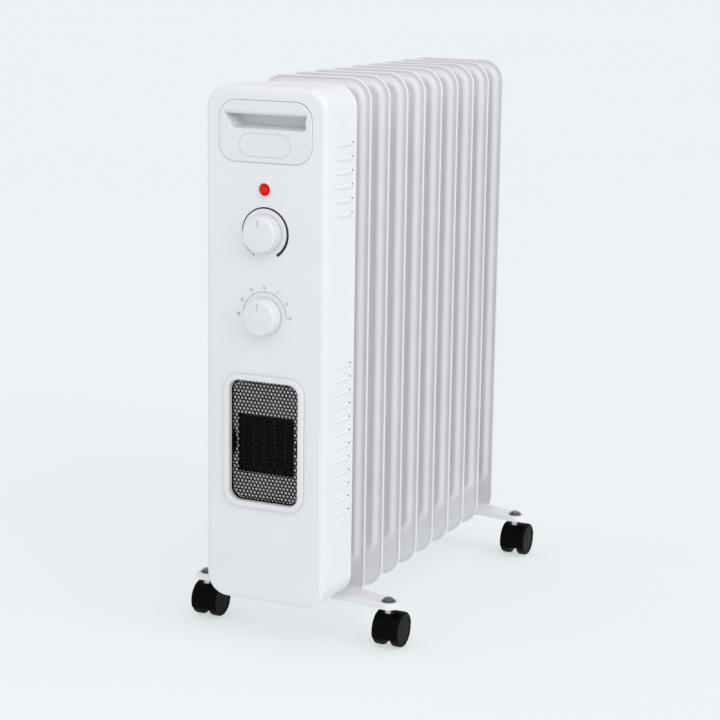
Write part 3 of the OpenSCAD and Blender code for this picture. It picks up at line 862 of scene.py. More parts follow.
@dataclass
class Housing:
    """The deep-drawn front cover with its louvres."""

    width: float = 150 * MM
    corner: float = 26 * MM
    edge: float = 7 * MM
    wall: float = 1.2 * MM
    lip: float = 0.7 * MM
    lip_depth: float = 2.6 * MM
    louvre_pitch: float = 15.4 * MM
    louvre_length: float = 38 * MM
    louvre_rise: float = 3.1 * MM
    louvre_half: float = 2.9 * MM
    louvre_sheet: float = 0.6 * MM
    upper_louvre: float = 62 * MM
    lower_louvre: float = 275.6 * MM

    def __post_init__(self) -> None:
        """Reads the housing's place from the frame."""
        low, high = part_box("front_cover")
        self.front, self.back = low.y, high.y
        self.base, self.top = low.z, high.z

    @property
    def outline(self) -> Outline:
        """The housing as the front shows it."""
        return Outline(self.width, self.top - self.base, self.corner, 0.0,
                       (self.top + self.base) / 2, 14)

    def shell(self) -> bpy.types.Object:
        """Makes the drawn skin: a lip at the rear, straight sides and a rolled front edge.

        Returns:
            The skin with its wall, open at the rear.
        """
        lip, rolled = self.lip, self.front + self.edge
        steps = [(0.0, self.back), (0.0, self.back - self.lip_depth),
                 (lip, self.back - self.lip_depth - lip)]
        steps += [(lip, rolled + (self.back - rolled) * share) for share in (0.66, 0.33)]
        steps += [(lip + self.edge * inward, self.front + self.edge * behind)
                  for inward, behind in quarter_round(9)]
        maker = bmesh.new()
        maker.faces.new(skin(maker, self.outline.rings(steps))[-1])
        bmesh.ops.recalc_face_normals(maker, faces=maker.faces)
        drawn = object_of("front_cover_shell", maker)
        if sum(face.normal.y for face in drawn.data.polygons) > 0:
            drawn.data.flip_normals()
        return thicken(drawn, self.wall)

    def openings(self) -> list[bpy.types.Object]:
        """Makes the cutters for the grip, the outlet, the controls and the louvres.

        Returns:
            The cutters.
        """
        cutters = []
        near, far = self.front - 5 * MM, self.front + 4 * MM
        low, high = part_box("grip_insert")
        shrink = 7 * MM
        cutters.append(block("grip_cut", (low.x + shrink, near, low.z + 24 * MM),
                             (high.x - shrink, far, high.z - shrink)))
        low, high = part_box("outlet_mesh")
        cutters.append(block("outlet_cut", (low.x - 1 * MM, near, low.z - 1 * MM),
                             (high.x + 1 * MM, far, high.z + 1 * MM)))
        for node, radius in (("thermostat_spindle", 5 * MM), ("selector_spindle", 5 * MM),
                             ("pilot_lens", 7.3 * MM)):
            low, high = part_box(node)
            centre = (low.z + high.z) / 2
            cutters.append(rod("hole", radius, (0, near, centre), (0, far, centre)))
        half = 2.0 * MM
        for side in (-1, 1):
            for height in self.louvre_heights():
                x = side * self.width / 2
                cutters.append(block("slot", (x - 3 * MM, self.louvre_back() - 22 * MM, height - half),
                                     (x + 3 * MM, self.louvre_back() + 0.3 * MM, height + half)))
        return cutters

    def louvre_back(self) -> float:
        """The depth of the louvres' open ends."""
        return self.back - 11 * MM

    def louvre_rows(self) -> list[tuple[int, Sequence[float], Sequence[float]]]:
        """Gives the groups of louvres on one side.

        Returns:
            Each group's count, start and step.
        """
        step = (0.0, 0.0, -self.louvre_pitch)
        return [(6, (0.0, 0.0, self.top - self.upper_louvre), step),
                (12, (0.0, 0.0, self.base + self.lower_louvre), step)]

    def louvre_heights(self) -> list[float]:
        """Gives the heights of all the louvres on one side."""
        return [start[2] - i * self.louvre_pitch
                for count, start, _ in self.louvre_rows() for i in range(count)]

    def louvre(self, side: int) -> bpy.types.Object:
        """Makes one pressed louvre at height 0, open at its rear end.

        Args:
            side: 1 for the right, -1 for the left.

        Returns:
            The louvre as a walled skin.
        """
        rows, across = 10, 12
        maker = bmesh.new()
        grid = []
        for i in range(rows + 1):
            share = i / rows
            swell = math.sin(math.pi / 2 * (1 - share)) ** 0.75
            out = self.louvre_rise * swell
            half = self.louvre_half * (0.35 + 0.65 * swell)
            y = self.louvre_back() - self.louvre_length * share
            grid.append([maker.verts.new((side * (self.width / 2 - self.lip - 0.3 * MM
                                                  + out * math.sin(math.pi * k / across)),
                                          y, half * math.cos(math.pi * k / across)))
                         for k in range(across + 1)])
        for near, far in zip(grid, grid[1:]):
            for k in range(across):
                corners = (near[k], near[k + 1], far[k + 1], far[k])
                maker.faces.new(corners if side > 0 else tuple(reversed(corners)))
        pressed = thicken(object_of("louvre_shape", maker), self.louvre_sheet)
        mouth = self.louvre_back() + 0.5 * MM
        near = [Vector((0.0, mouth, 2.0 * MM)), Vector((0.0, mouth - 6.4 * MM, 2.0 * MM)),
                Vector((0.0, mouth, -1.7 * MM))]
        reach = Vector((side * self.width, 0.0, 0.0))
        opening = loft("mouth_cut", [near, [point + reach for point in near]])
        return soften(cut(pressed, [opening]), 50.0)

    def shade(self, side: int) -> bpy.types.Object:
        """Makes a black block that paints the shade inside one louvre's mouth, at height 0.

        Args:
            side: 1 for the right, -1 for the left.

        Returns:
            A small block.
        """
        inner, outer = sorted(side * (self.width / 2 + past) for past in (-4 * MM, 1.5 * MM))
        half, back = 1.9 * MM, self.louvre_back()
        return block("shade", (inner, back - 8 * MM, -half), (outer, back - 0.2 * MM, half))

    def build(self) -> None:
        """Makes the cover, its louvres and the painted shade in their mouths."""
        cover = soften(cut(self.shell(), self.openings()), 28.0)
        hand_in(cover, Paint.HOUSING, ["front_cover"]).name = "front_cover_skin"
        # louvre_shades are black blocks: painted shade inside the louvres' open ends
        for name, shape, paint in (("side_louvres", self.louvre, Paint.HOUSING),
                                   ("louvre_shades", self.shade, Paint.BLACK)):
            rows = [Repeats.rows("louvre_row", shape(side), paint, self.louvre_rows())
                    for side in (-1, 1)]
            hand_in(join(name, rows), paint)


@dataclass
class CoverScrews:
    """The cross-head screws that hold the back plate."""

    head_radius: float = 3.8 * MM
    head_height: float = 2.2 * MM

    def build(self) -> None:
        """Makes one screw, and sets it at each of the six places."""
        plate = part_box("back_plate")[1].y
        low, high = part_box("cover_screws")
        r, h = self.head_radius, self.head_height
        head = lathe("screw_shape", [(0, h), (r * 0.45, h * 0.97), (r * 0.8, h * 0.78),
                                     (r * 0.97, h * 0.42), (r, 0.0), (r * 0.5, 0.0),
                                     (r * 0.5, -6 * MM), (0, -6 * MM)], "Y", 32)
        slots = [block("cross", (-a, h * 0.45, -b), (a, h * 2, b))
                 for a, b in ((2.3 * MM, 0.45 * MM), (0.45 * MM, 2.3 * MM))]
        screw = soften(cut(head, slots), 30.0)
        places = [(x, plate, z) for x in (low.x + r, high.x - r)
                  for z in (low.z + r, (low.z + high.z) / 2, high.z - r)]
        hand_in(Repeats.at("back_screws", screw, Paint.ZINC, places), Paint.ZINC, ["cover_screws"])


@dataclass
class Grip:
    """The grip insert: a plate with a sculpted finger pocket and a blank pill badge."""

    corner: float = 20 * MM
    edge: float = 1.5 * MM
    seam: float = 0.55 * MM
    pill: float = 12 * MM

    def plate(self, low: Vector, high: Vector, front: float) -> bpy.types.Object:
        """Makes the insert's plate, still without its pocket.

        Args:
            low: the insert's lowest corner.
            high: its highest corner.
            front: the depth of the housing's front face.

        Returns:
            The plate, with a rolled edge.
        """
        e = self.edge
        steps = [(1.0 * MM, high.y), (1.0 * MM, front + 1.0 * MM), (0.0, front + 0.9 * MM)]
        steps += [(e * inward, low.y + e * behind) for inward, behind in quarter_round(5)]
        return loft("grip_plate", Outline.of("grip_insert", self.corner).rings(steps))

    def pocket(self, low: Vector, high: Vector) -> bpy.types.Object:
        """Makes the cutter for the pocket, wide at its top and swept in below.

        Args:
            low: the insert's lowest corner.
            high: its highest corner.

        Returns:
            The cutter.
        """
        top, bottom = high.z - 15.5 * MM, low.z + 37 * MM
        deep = high.y - 2.2 * MM

        def section(y: float, grow: float, rise: float) -> Ring:
            """Gives one cross-section: a flat top, slanted ends and a round lower edge.

            Args:
                y: its depth.
                grow: how much wider it is on every side.
                rise: how much higher its top is.

            Returns:
                The section's ring.
            """
            left, right = -49 * MM - grow, 51 * MM + grow
            low_left, low_right = -38 * MM - grow, 46 * MM + grow
            roof, floor = top + rise, bottom - grow
            mid = (roof + floor) / 2
            return [Vector((x, y, z)) for x, z in (
                (right, roof), (left, roof), (left + 1.5 * MM, roof - 2.5 * MM),
                (left + 5 * MM, mid), (low_left - 3 * MM, floor + 2.2 * MM),
                (low_left + 1 * MM, floor), (low_right - 1 * MM, floor),
                (low_right + 3 * MM, floor + 2.2 * MM), (right - 3 * MM, mid),
                (right - 1 * MM, roof - 2.5 * MM))]

        front, roll = low.y, 6.0 * MM
        rings = [section(front - 2 * MM, 2.0 * MM, roll)]
        rings += [section(front + roll * behind, 1.6 * MM * inward, roll * inward * 0.9)
                  for inward, behind in reversed(quarter_round(6))]
        rings += [section((deep + front) / 2, -0.6 * MM, 1.0 * MM), section(deep, -3.0 * MM, 1.5 * MM)]
        return loft("pocket_cut", rings)

    def build(self) -> None:
        """Makes the plate, the painted shade of its seam, the badge and the badge's pin hole."""
        low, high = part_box("grip_insert")
        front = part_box("front_cover")[0].y
        badge_low, badge_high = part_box("badge")
        spare, pin = 0.45 * MM, badge_low.z - 0.4 * MM
        recess = loft("badge_cut", Outline.of("badge", self.pill - spare + 0.4 * MM).rings(
            [(-spare, low.y - 2 * MM), (-spare, low.y + 0.7 * MM)]))
        dot = rod("pin_cut", 0.75 * MM, (0, low.y - 1 * MM, pin), (0, low.y + 1.2 * MM, pin), 24)
        plate = cut(self.plate(low, high, front), [self.pocket(low, high), recess, dot])
        soften(plate, 30.0, 0.5 * MM, 3).name = "grip_insert_plate"
        hand_in(plate, Paint.PLASTIC, ["grip_insert"])
        badge = loft("badge_pill", Outline.of("badge", self.pill).rings(
            [(0.0, badge_high.y), (0.0, badge_low.y + 0.15 * MM), (0.3 * MM, badge_low.y),
             (0.9 * MM, badge_low.y + 0.02 * MM)]))
        hand_in(soften(badge, 25.0), Paint.PLASTIC, ["badge"])

        outline, film, lap = Outline.of("grip_insert", self.corner, 16), 0.06 * MM, 0.6 * MM
        # the seam is a thin grey film: painted shade in the gap between the plate and the housing's face
        seam = loft("grip_seam", outline.rings(
            [(-self.seam, front - film), (lap, front - film), (lap, front + film),
             (-self.seam, front + film)]), joined=True)
        hand_in(seam, Paint.SHADE)
        # the darker film over the top and round the right corner is painted shadow
        hand_in(self.painted_seam_shadow(outline, front - film), Paint.FAINT_INK)

    def painted_seam_shadow(self, outline: Outline, y: float) -> bpy.types.Object:
        """Makes the wider, darker part of the seam, a painted shadow: over the top and round its right
        corner.

        Args:
            outline: the plate's outline.
            y: how far forward the seam stands.

        Returns:
            A thin film that narrows towards both ends.
        """
        last = outline.arc + 2
        outer, inner = outline.plan(-self.seam * 1.3)[:last], outline.plan(0.3 * MM)[:last]
        rings = []
        for i, (a, b) in enumerate(zip(outer, inner)):
            share = math.sin(math.pi * (i + 1) / (last + 4)) ** 0.5
            x, z = b[0] + (a[0] - b[0]) * share, b[1] + (a[1] - b[1]) * share
            rings.append([Vector((x, y - 0.04 * MM, z)), Vector((b[0], y - 0.04 * MM, b[1])),
                          Vector((b[0], y + 0.1 * MM, b[1])), Vector((x, y + 0.1 * MM, z))])
        return loft("grip_gap", rings)


@dataclass
class PilotLamp:
    """The pilot lamp: a pale collar round a faceted red lens."""

    lens_radius: float = 6.9 * MM
    collar_radius: float = 8.6 * MM

    def build(self) -> None:
        """Makes the collar and the lens."""
        low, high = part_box("pilot_holder")
        centre = (0.0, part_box("front_cover")[0].y, (low.z + high.z) / 2)
        c, r = self.collar_radius, self.lens_radius
        collar = lathe("pilot_collar", [(c, 0.3 * MM), (c, -1.0 * MM), (c - 0.5 * MM, -2.0 * MM),
                                        (r + 0.7 * MM, -2.2 * MM), (r + 0.2 * MM, -1.8 * MM),
                                        (r + 0.2 * MM, 12 * MM), (r + 0.6 * MM, 12 * MM),
                                        (r + 0.6 * MM, 0.3 * MM), (c, 0.3 * MM)], "Y")
        hand_in(moved(soften(collar, 40.0), centre), Paint.PLASTIC, ["pilot_holder"])
        lens = lathe("pilot_jewel", [(0, 10 * MM), (r, 10 * MM), (r, 0.4 * MM),
                                     (r - 0.3 * MM, -0.4 * MM), (r - 1.1 * MM, -0.6 * MM),
                                     (r - 1.9 * MM, 0.0), (r - 2.3 * MM, 2.6 * MM),
                                     (r - 2.7 * MM, 2.6 * MM), (r - 2.9 * MM, -1.0 * MM),
                                     (r - 3.5 * MM, -1.7 * MM), (r - 4.8 * MM, -2.0 * MM),
                                     (0, -2.0 * MM)], "Y", 24)
        hand_in(moved(soften(lens, 15.0, 0.12 * MM), centre), Paint.LENS, ["pilot_lens"])


# ---- the dials -------------------------------------------------------------


class Dial(Enum):
    """The two dials: the node of the knob, its body and the marks behind it."""

    THERMOSTAT = ("thermostat_knob", "thermostat_dial")
    SELECTOR = ("selector_knob", "selector_dial")


@dataclass
class Knob:
    """A plain round knob with a crowned face and a faint pointer."""

    dial: Dial
    fillet: float = 3.4 * MM

    def build(self) -> None:
        """Makes the knob and its pointer."""
        node, body = self.dial.value
        low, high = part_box(node)
        centre = Vector((0.0, 0.0, (low.z + high.z) / 2))
        radius, front, back = (high.x - low.x) / 2, low.y, high.y
        f = self.fillet
        profile = [(0.0, back), (radius - 1.2 * MM, back), (radius - 0.2 * MM, back - 0.4 * MM),
                   (radius, back - 1.2 * MM), (radius - 0.8 * MM, front + f + 0.8 * MM)]
        profile += [(radius - 0.9 * MM - f * inward, front + 0.5 * MM + f * behind)
                    for inward, behind in quarter_round(6)]
        profile += [(radius * 0.55, front + 0.15 * MM), (radius * 0.25, front + 0.04 * MM), (0.0, front)]
        knob = lathe(f"{node}_turned", profile, "Y", 96)
        groove = block("pointer_cut", (-0.55 * MM, front - 1 * MM, radius * 0.42),
                       (0.55 * MM, front + 0.9 * MM, radius * 0.80))
        hand_in(moved(soften(cut(knob, [groove]), 38.0), centre), Paint.PLASTIC, [node], body)
        tick = block(f"{node}_pointer", (-0.45 * MM, front + 0.45 * MM, radius * 0.43),
                     (0.45 * MM, front + 0.75 * MM, radius * 0.79))
        hand_in(moved(soften(tick, 30.0, 0.08 * MM), centre), Paint.SHADE, (), body)


@dataclass
class DialMarks:
    """The marks printed round the dials: arcs, ticks and plain numbers of bars."""

    front: float
    film: float = 0.08 * MM

    def arc(self, centre_z: float, radius: float, start: float, end: float,
            first: float, last: float) -> bpy.types.Object:
        """Makes an arc whose width changes evenly along it.

        Args:
            centre_z: the height of its centre.
            radius: its radius.
            start: the angle where it begins, in degrees anticlockwise from the right.
            end: the angle where it ends.
            first: its width at the start.
            last: its width at the end.

        Returns:
            The arc as a thin solid film.
        """
        steps = 72
        rings = []
        for step in range(steps + 1):
            share = step / steps
            angle = math.radians(start + (end - start) * share)
            half = (first + (last - first) * share) / 2
            rings.append([Vector((r * math.cos(angle), y, centre_z + r * math.sin(angle)))
                          for r, y in ((radius + half, self.front - self.film),
                                       (radius + half, self.front + self.film),
                                       (radius - half, self.front + self.film),
                                       (radius - half, self.front - self.film))])
        return loft("arc", rings)

    def bar(self, centre_z: float, radius: float, angle: float, length: float,
            width: float, shift: float = 0.0) -> bpy.types.Object:
        """Makes a short straight stroke that points away from a dial's centre.

        Args:
            centre_z: the height of the dial's centre.
            radius: how far out the stroke's middle is.
            angle: its direction, in degrees anticlockwise from the right.
            length: its length.
            width: its width.
            shift: how far it is moved sideways.

        Returns:
            The stroke.
        """
        made = block("bar", (-length / 2, self.front - self.film, shift - width / 2),
                     (length / 2, self.front + self.film, shift + width / 2))
        turn = Matrix.Rotation(-math.radians(angle), 4, "Y")
        made.data.transform(Matrix.Translation((0, 0, centre_z)) @ turn
                            @ Matrix.Translation((radius, 0, 0)))
        return made

    def fan(self, centre_z: float, radius: float, angle: float, blades: int) -> list[bpy.types.Object]:
        """Makes a small ring with blades inside it, for a setting that blows.

        Args:
            centre_z: the height of the dial's centre.
            radius: how far out the ring's middle is.
            angle: its direction, in degrees anticlockwise from the right.
            blades: how many blades it has.

        Returns:
            The ring and its blades.
        """
        spot = math.radians(angle)
        x, z = radius * math.cos(spot), centre_z + radius * math.sin(spot)
        made = [moved(self.arc(0.0, 1.9 * MM, 0.0, 360.0, 0.3 * MM, 0.3 * MM), (x, 0.0, z))]
        for i in range(blades):
            blade = block("blade", (0.2 * MM, self.front - self.film, -0.16 * MM),
                          (1.5 * MM, self.front + self.film, 0.16 * MM))
            blade.data.transform(Matrix.Translation((x, 0, z))
                                 @ Matrix.Rotation(2 * math.pi * i / blades + 0.4, 4, "Y"))
            made.append(blade)
        return made

    def build(self) -> None:
        """Prints both dials."""
        low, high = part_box("thermostat_knob")
        z, radius, start = (low.z + high.z) / 2, 28 * MM, math.radians(241)
        strong = [self.arc(z, radius, 240.0, -58.0, 0.35 * MM, 3.3 * MM)]
        x, up = radius * math.cos(start), z + radius * math.sin(start)
        strong.append(rod("stop", 0.9 * MM, (x, self.front - self.film, up),
                          (x, self.front + self.film, up), 24))
        hand_in(join("thermostat_marks", strong), Paint.INK)
        low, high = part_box("selector_knob")
        z, line = (low.z + high.z) / 2, 0.45 * MM
        faint = [self.arc(z, 27 * MM, 180.0, 0.0, line, line)]
        faint += [self.bar(z, 28.1 * MM, 30.0 * i, 1.5 * MM, line) for i in range(7)]
        for bars, angle in ((3, 0.0), (2, 30.0), (1, 60.0)):
            faint += [self.bar(z, 31.8 * MM, angle, 3.4 * MM, line, (i - (bars - 1) / 2) * 1.3 * MM)
                      for i in range(bars)]
        faint.append(moved(self.arc(0.0, 1.4 * MM, 0.0, 360.0, 0.4 * MM, 0.4 * MM),
                           (0.0, 0.0, z + 32 * MM)))
        for blades, angle in ((3, 120.0), (4, 150.0), (6, 180.0)):
            faint += self.fan(z, 32.4 * MM, angle, blades)
        hand_in(join("selector_marks", faint), Paint.FAINT_INK)


# ---- the fan outlet --------------------------------------------------------


@dataclass
class Outlet:
    """The fan outlet: bezel, backing with its window, fine mesh and heater block."""

    face: float = 7 * MM
    corner: float = 19 * MM
    pitch: float = 4.6 * MM
    hole: float = 1.8 * MM
    backing: float = 1.2 * MM
    backing_y: float = 5.2 * MM
    margin: float = 2.6 * MM

    def bezel(self, front: float) -> bpy.types.Object:
        """Makes the bezel as one closed moulding.

        Args:
            front: the depth of the housing's front face.

        Returns:
            The moulding.
        """
        outline = Outline.of("outlet_bezel", self.corner, 16)
        proud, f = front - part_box("outlet_bezel")[0].y, self.face
        steps = [(0.0, 0.3 * MM), (0.0, -proud + 1.8 * MM), (0.35 * MM, -proud + 0.8 * MM),
                 (1.0 * MM, -proud + 0.22 * MM), (2.0 * MM, -proud), (f - 1.8 * MM, -proud),
                 (f - 0.9 * MM, -proud + 0.25 * MM), (f - 0.2 * MM, -proud + 1.1 * MM),
                 (f, -proud + 2.2 * MM), (f, self.backing_y), (f - 1.5 * MM, self.backing_y),
                 (f - 1.5 * MM, 0.3 * MM)]
        return loft("bezel_frame", outline.rings((inset, front + y) for inset, y in steps), joined=True)

    def backing_plate(self, front: float) -> bpy.types.Object:
        """Makes the plate behind the mesh, with the window and a notch on each side.

        Args:
            front: the depth of the housing's front face.

        Returns:
            The plate; the black plate behind it, painted shade for the housing's dark inside, is painted
            and put on its body on the way.
        """
        duct_low, duct_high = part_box("outlet_duct")
        z, edge = (duct_low.z + duct_high.z) / 2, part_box("outlet_bezel")[1].x
        wall, inset, gap = 1.6 * MM, self.face - 1 * MM, 0.1 * MM
        near, far = front + self.backing_y, front + self.backing_y + self.backing
        outline = Outline.of("outlet_bezel", self.corner, 10)
        plate = loft("backing", outline.rings([(inset, near), (inset, far)]))
        # a black plate of painted shade, seen through the window and the notches
        shade = loft("outlet_gasket", outline.rings([(inset, far + gap), (inset, duct_low.y - gap)]))

        def window() -> bpy.types.Object:
            """Makes the cutter for the window, which both plates share."""
            return block("window_cut", (duct_low.x + wall, near - 3 * MM, duct_low.z + wall),
                         (duct_high.x - wall, near + 9 * MM, duct_high.z - wall))

        cutters = [window()]
        for side in (-1, 1):
            notch = rod("notch_cut", 16 * MM, (0, near - 3 * MM, 0), (0, near + 5 * MM, 0))
            notch.data.transform(Matrix.Diagonal((0.38, 1.0, 1.0, 1.0)))
            cutters.append(moved(notch, (side * (edge - self.face), 0.0, z)))
        hand_in(cut(shade, [window()]), Paint.BLACK)
        return cut(plate, cutters)

    def cell(self, thick: float) -> bpy.types.Object:
        """Makes one cell of the mesh: a hexagon with a round hole.

        Args:
            thick: the sheet's thickness.

        Returns:
            The cell, which has walls round its hole and its edge.
        """
        maker, points = bmesh.new(), 12
        reaches = [self.pitch / math.sqrt(3) if k % 2 else self.pitch / 2 for k in range(points)]
        holes = [self.hole] * points
        rings = [[Vector((reach * math.cos(2 * math.pi * k / points), y,
                          reach * math.sin(2 * math.pi * k / points))) for k, reach in enumerate(ring)]
                 for ring, y in ((reaches, 0.0), (holes, 0.0), (holes, thick), (reaches, thick))]
        skin(maker, rings, joined=True)
        bmesh.ops.recalc_face_normals(maker, faces=maker.faces)
        return object_of("mesh_cell", maker)

    def mesh(self) -> bpy.types.Object:
        """Makes the perforated sheet, and the plain band round its edge.

        Returns:
            Both as one piece.
        """
        low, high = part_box("outlet_mesh")
        corner, proud, band = self.corner - 5 * MM, 0.1 * MM, self.margin * 0.55
        holes = Repeats.sheet("mesh_cells", self.cell(high.y - low.y), Paint.MESH,
                              width=high.x - low.x, height=high.z - low.z, corner=corner,
                              pitch=self.pitch, row_gap=self.pitch * math.sqrt(3) / 2,
                              margin=self.margin * 0.5, centre=(0.0, low.y, (low.z + high.z) / 2))
        edge = Outline.of("outlet_mesh", corner)
        rim = loft("mesh_band", edge.rings([(0.0, low.y - proud), (band, low.y - proud),
                                            (band, high.y + proud), (0.0, high.y + proud)]), joined=True)
        return join("outlet_mesh_sheet", [holes, rim])

    def heater_block(self) -> bpy.types.Object:
        """Makes the block: upright ceramic bars with folded slats between them.

        Returns:
            The block as one piece.
        """
        low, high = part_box("ptc_element")
        bars, bar_w, slats, rail, thick = 5, 2.4 * MM, 30, 4 * MM, 0.22 * MM
        gap = (high.x - low.x - bar_w) / bars
        parts = [block("rail", (low.x, low.y, z), (high.x, high.y, z + rail))
                 for z in (low.z, high.z - rail)]
        lefts = [low.x + i * gap for i in range(bars + 1)]
        parts += [block("bar", (x, low.y, low.z), (x + bar_w, high.y, high.z)) for x in lefts]
        start, step = low.z + 4.6 * MM, (high.z - low.z - 9.2 * MM) / (slats - 1)
        width, near, fold = gap - bar_w, low.y + 0.6 * MM, step * 0.42
        profile = [(-width / 2, -0.5), (-width / 6, 0.5), (width / 6, -0.5), (width / 2, 0.5)]
        ring = [Vector((x, near, fold * k + thick)) for x, k in profile]
        ring += [Vector((x, near, fold * k - thick)) for x, k in reversed(profile)]
        shape = loft("slat_shape", [ring, [point + Vector((0, 8 * MM, 0)) for point in ring]])
        parts.append(Repeats.rows("slats", shape, Paint.HEATER, [
            (slats, (x + bar_w + width / 2, 0.0, start), (0.0, 0.0, step)) for x in lefts[:bars]]))
        return join("heater_block_stack", parts)

    def build(self) -> None:
        """Makes the outlet's four pieces."""
        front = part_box("front_cover")[0].y
        moulding = join("outlet_moulding", [soften(self.bezel(front), 40.0),
                                            self.backing_plate(front)])
        hand_in(soften(moulding, 40.0), Paint.PLASTIC, ["outlet_bezel"])
        hand_in(self.mesh(), Paint.MESH, ["outlet_mesh"])
        hand_in(self.heater_block(), Paint.HEATER, ["ptc_element"])


# ---- the fins --------------------------------------------------------------


@dataclass
class FinStack:
    """The oil filled fins, pressed from two sheets with a folded rim."""

    count: int = 9
    corner: float = 27 * MM
    rim: float = 3.0 * MM
    rim_half: float = 1.6 * MM
    web_half: float = 0.6 * MM
    channel: float = 16 * MM
    band: float = 3.2 * MM
    spine_half: float = 11 * MM
    hub: float = 26 * MM
    hub_flat: float = 21 * MM
    high_hub_rise: float = 4 * MM
    press: float = 0.66

    def __post_init__(self) -> None:
        """Reads the fins' places from the frame."""
        low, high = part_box("fin_1")
        self.width, self.base, self.top = high.x - low.x, low.z, high.z
        self.half = (high.y - low.y) / 2
        self.first = (low.y + high.y) / 2
        last_low, last_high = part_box(f"fin_{self.count}")
        self.pitch = ((last_low.y + last_high.y) / 2 - self.first) / (self.count - 1)
        neck_low, neck_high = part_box("collector_necks")
        hub_low, hub_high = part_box("element_flange")
        self.low_hub = (hub_low.z + hub_high.z) / 2
        self.high_hub = neck_low.z + neck_high.z - self.low_hub + self.high_hub_rise

    def swell(self, x: float, z: float) -> float:
        """Gives how far the pressing swells from the web at a point, from 0 to 1.

        Args:
            x: the place across the fin.
            z: the height.

        Returns:
            The swell's share of its full height.
        """
        bottom, top = self.low_hub - self.channel / 2, self.top - self.rim
        half_w, half_h = self.width / 2 - self.rim, (top - bottom) / 2
        corner = self.corner - self.rim
        dx = abs(x) - (half_w - corner)
        dz = abs(z - (top + bottom) / 2) - (half_h - corner)
        inside = corner - (math.hypot(max(dx, 0), max(dz, 0)) + min(max(dx, dz), 0))
        share = (inside - self.band) / (self.channel - self.band)
        loop = (0.5 - 0.5 * math.cos(2 * math.pi * share)) ** 0.6 if 0 < share < 1 else 0.0
        spine = 0.0
        if self.low_hub < z < self.high_hub and abs(x) < self.spine_half:
            spine = math.cos(math.pi / 2 * x / self.spine_half) ** 0.85
        disc = 0.0
        for hub in (self.low_hub, self.high_hub):
            away = math.hypot(x, z - hub)
            t = min(max((self.hub - away) / (self.hub - self.hub_flat), 0.0), 1.0)
            disc = max(disc, t * t * (3 - 2 * t))
        return max(self.press * loop, self.press * spine, disc)

    def stations(self) -> tuple[list[float], list[float]]:
        """Gives the shares across the half width, and the heights, that the grid uses.

        Returns:
            The shares from the middle out, and the heights from the bottom up.
        """
        edge = self.width / 2
        fine = [edge - self.rim - self.channel - 1 * MM + i * 1.35 * MM for i in range(14)]
        across = [0.0, 2.2 * MM, 4.4 * MM, 6.6 * MM, 8.8 * MM, 11 * MM]
        across += [14.5 * MM, 18 * MM, 21.5 * MM, 25 * MM, 29 * MM, 36 * MM, 44 * MM]
        across = [x for x in across if x < fine[0] - 2 * MM] + [x for x in fine if x < edge - 1 * MM]
        across.append(edge - 0.8 * MM)
        shares = [x / (edge - 0.8 * MM) for x in across]
        heights: list[float] = []
        z = self.base + 0.8 * MM
        while z < self.top - 0.8 * MM:
            heights.append(z)
            near_low = z < self.low_hub + 32 * MM
            near_high = z > self.high_hub - 32 * MM
            plain = self.base + 30 * MM < z < self.low_hub - 30 * MM
            z += (3.4 * MM if near_low or near_high else 26 * MM) if not plain else 4 * MM
        heights.append(self.top - 0.8 * MM)
        return shares, heights

    def half_width(self, z: float) -> float:
        """Gives the plate's half width at a height, inside its rim.

        Args:
            z: the height.

        Returns:
            The half width, which shrinks round the corners.
        """
        edge, radius = self.width / 2 - 0.8 * MM, self.corner - 0.8 * MM
        over = max(self.base + self.corner - z, z - (self.top - self.corner), 0.0)
        return edge - radius + math.sqrt(max(radius ** 2 - over ** 2, 0.0))

    def plate(self) -> bpy.types.Object:
        """Makes both pressed sheets of one fin, centred on depth 0.

        Returns:
            The sheets, closed round their edge.
        """
        shares, heights = self.stations()
        columns = [-share for share in reversed(shares[1:])] + shares
        maker = bmesh.new()
        sheets = []
        for side in (-1, 1):
            rows = []
            for z in heights:
                width = self.half_width(z)
                row = []
                for share in columns:
                    x = share * width
                    thick = self.web_half + (self.half - self.web_half) * self.swell(x, z)
                    row.append(maker.verts.new((x, side * thick, z)))
                rows.append(row)
            sheets.append(rows)
        for side, rows in zip((-1, 1), sheets):
            for low_row, high_row in zip(rows, rows[1:]):
                for i in range(len(columns) - 1):
                    corners = (low_row[i], low_row[i + 1], high_row[i + 1], high_row[i])
                    maker.faces.new(corners if side < 0 else tuple(reversed(corners)))
        front, back = sheets
        border = ([(0, i) for i in range(len(columns))]
                  + [(j, len(columns) - 1) for j in range(1, len(heights))]
                  + [(len(heights) - 1, i) for i in range(len(columns) - 2, -1, -1)]
                  + [(j, 0) for j in range(len(heights) - 2, 0, -1)])
        for (r0, c0), (r1, c1) in zip(border, border[1:] + border[:1]):
            maker.faces.new((front[r1][c1], front[r0][c0], back[r0][c0], back[r1][c1]))
        return object_of("fin_plate", maker)

    def folded_rim(self) -> bpy.types.Object:
        """Makes the bead that the two sheets are folded into.

        Returns:
            The bead.
        """
        h, r = self.rim_half, self.rim
        steps = [(0.0, -h * 0.5), (r * 0.12, -h * 0.86), (r * 0.35, -h), (r * 0.8, -h), (r, -h * 0.5),
                 (r, h * 0.5), (r * 0.8, h), (r * 0.35, h), (r * 0.12, h * 0.86), (0.0, h * 0.5)]
        return soften(loft("fin_rim", Outline.of("fin_1", self.corner, 14).rings(steps), True), 60.0)

    def build(self) -> None:
        """Makes one fin, and sets it along the collectors."""
        plate = self.plate()
        plate.data.shade_smooth()
        fin = join("fin_shape", [plate, self.folded_rim()])
        fin.data.shade_smooth()
        fin.data.set_sharp_from_angle(angle=math.radians(55.0))
        stack = Repeats.rows("fin_stack", fin, Paint.FIN,
                             [(self.count, (0.0, self.first, 0.0), (0.0, self.pitch, 0.0))])
        hand_in(stack, Paint.FIN, [f"fin_{i}" for i in range(1, self.count + 1)])


# ---- feet and castors ------------------------------------------------------


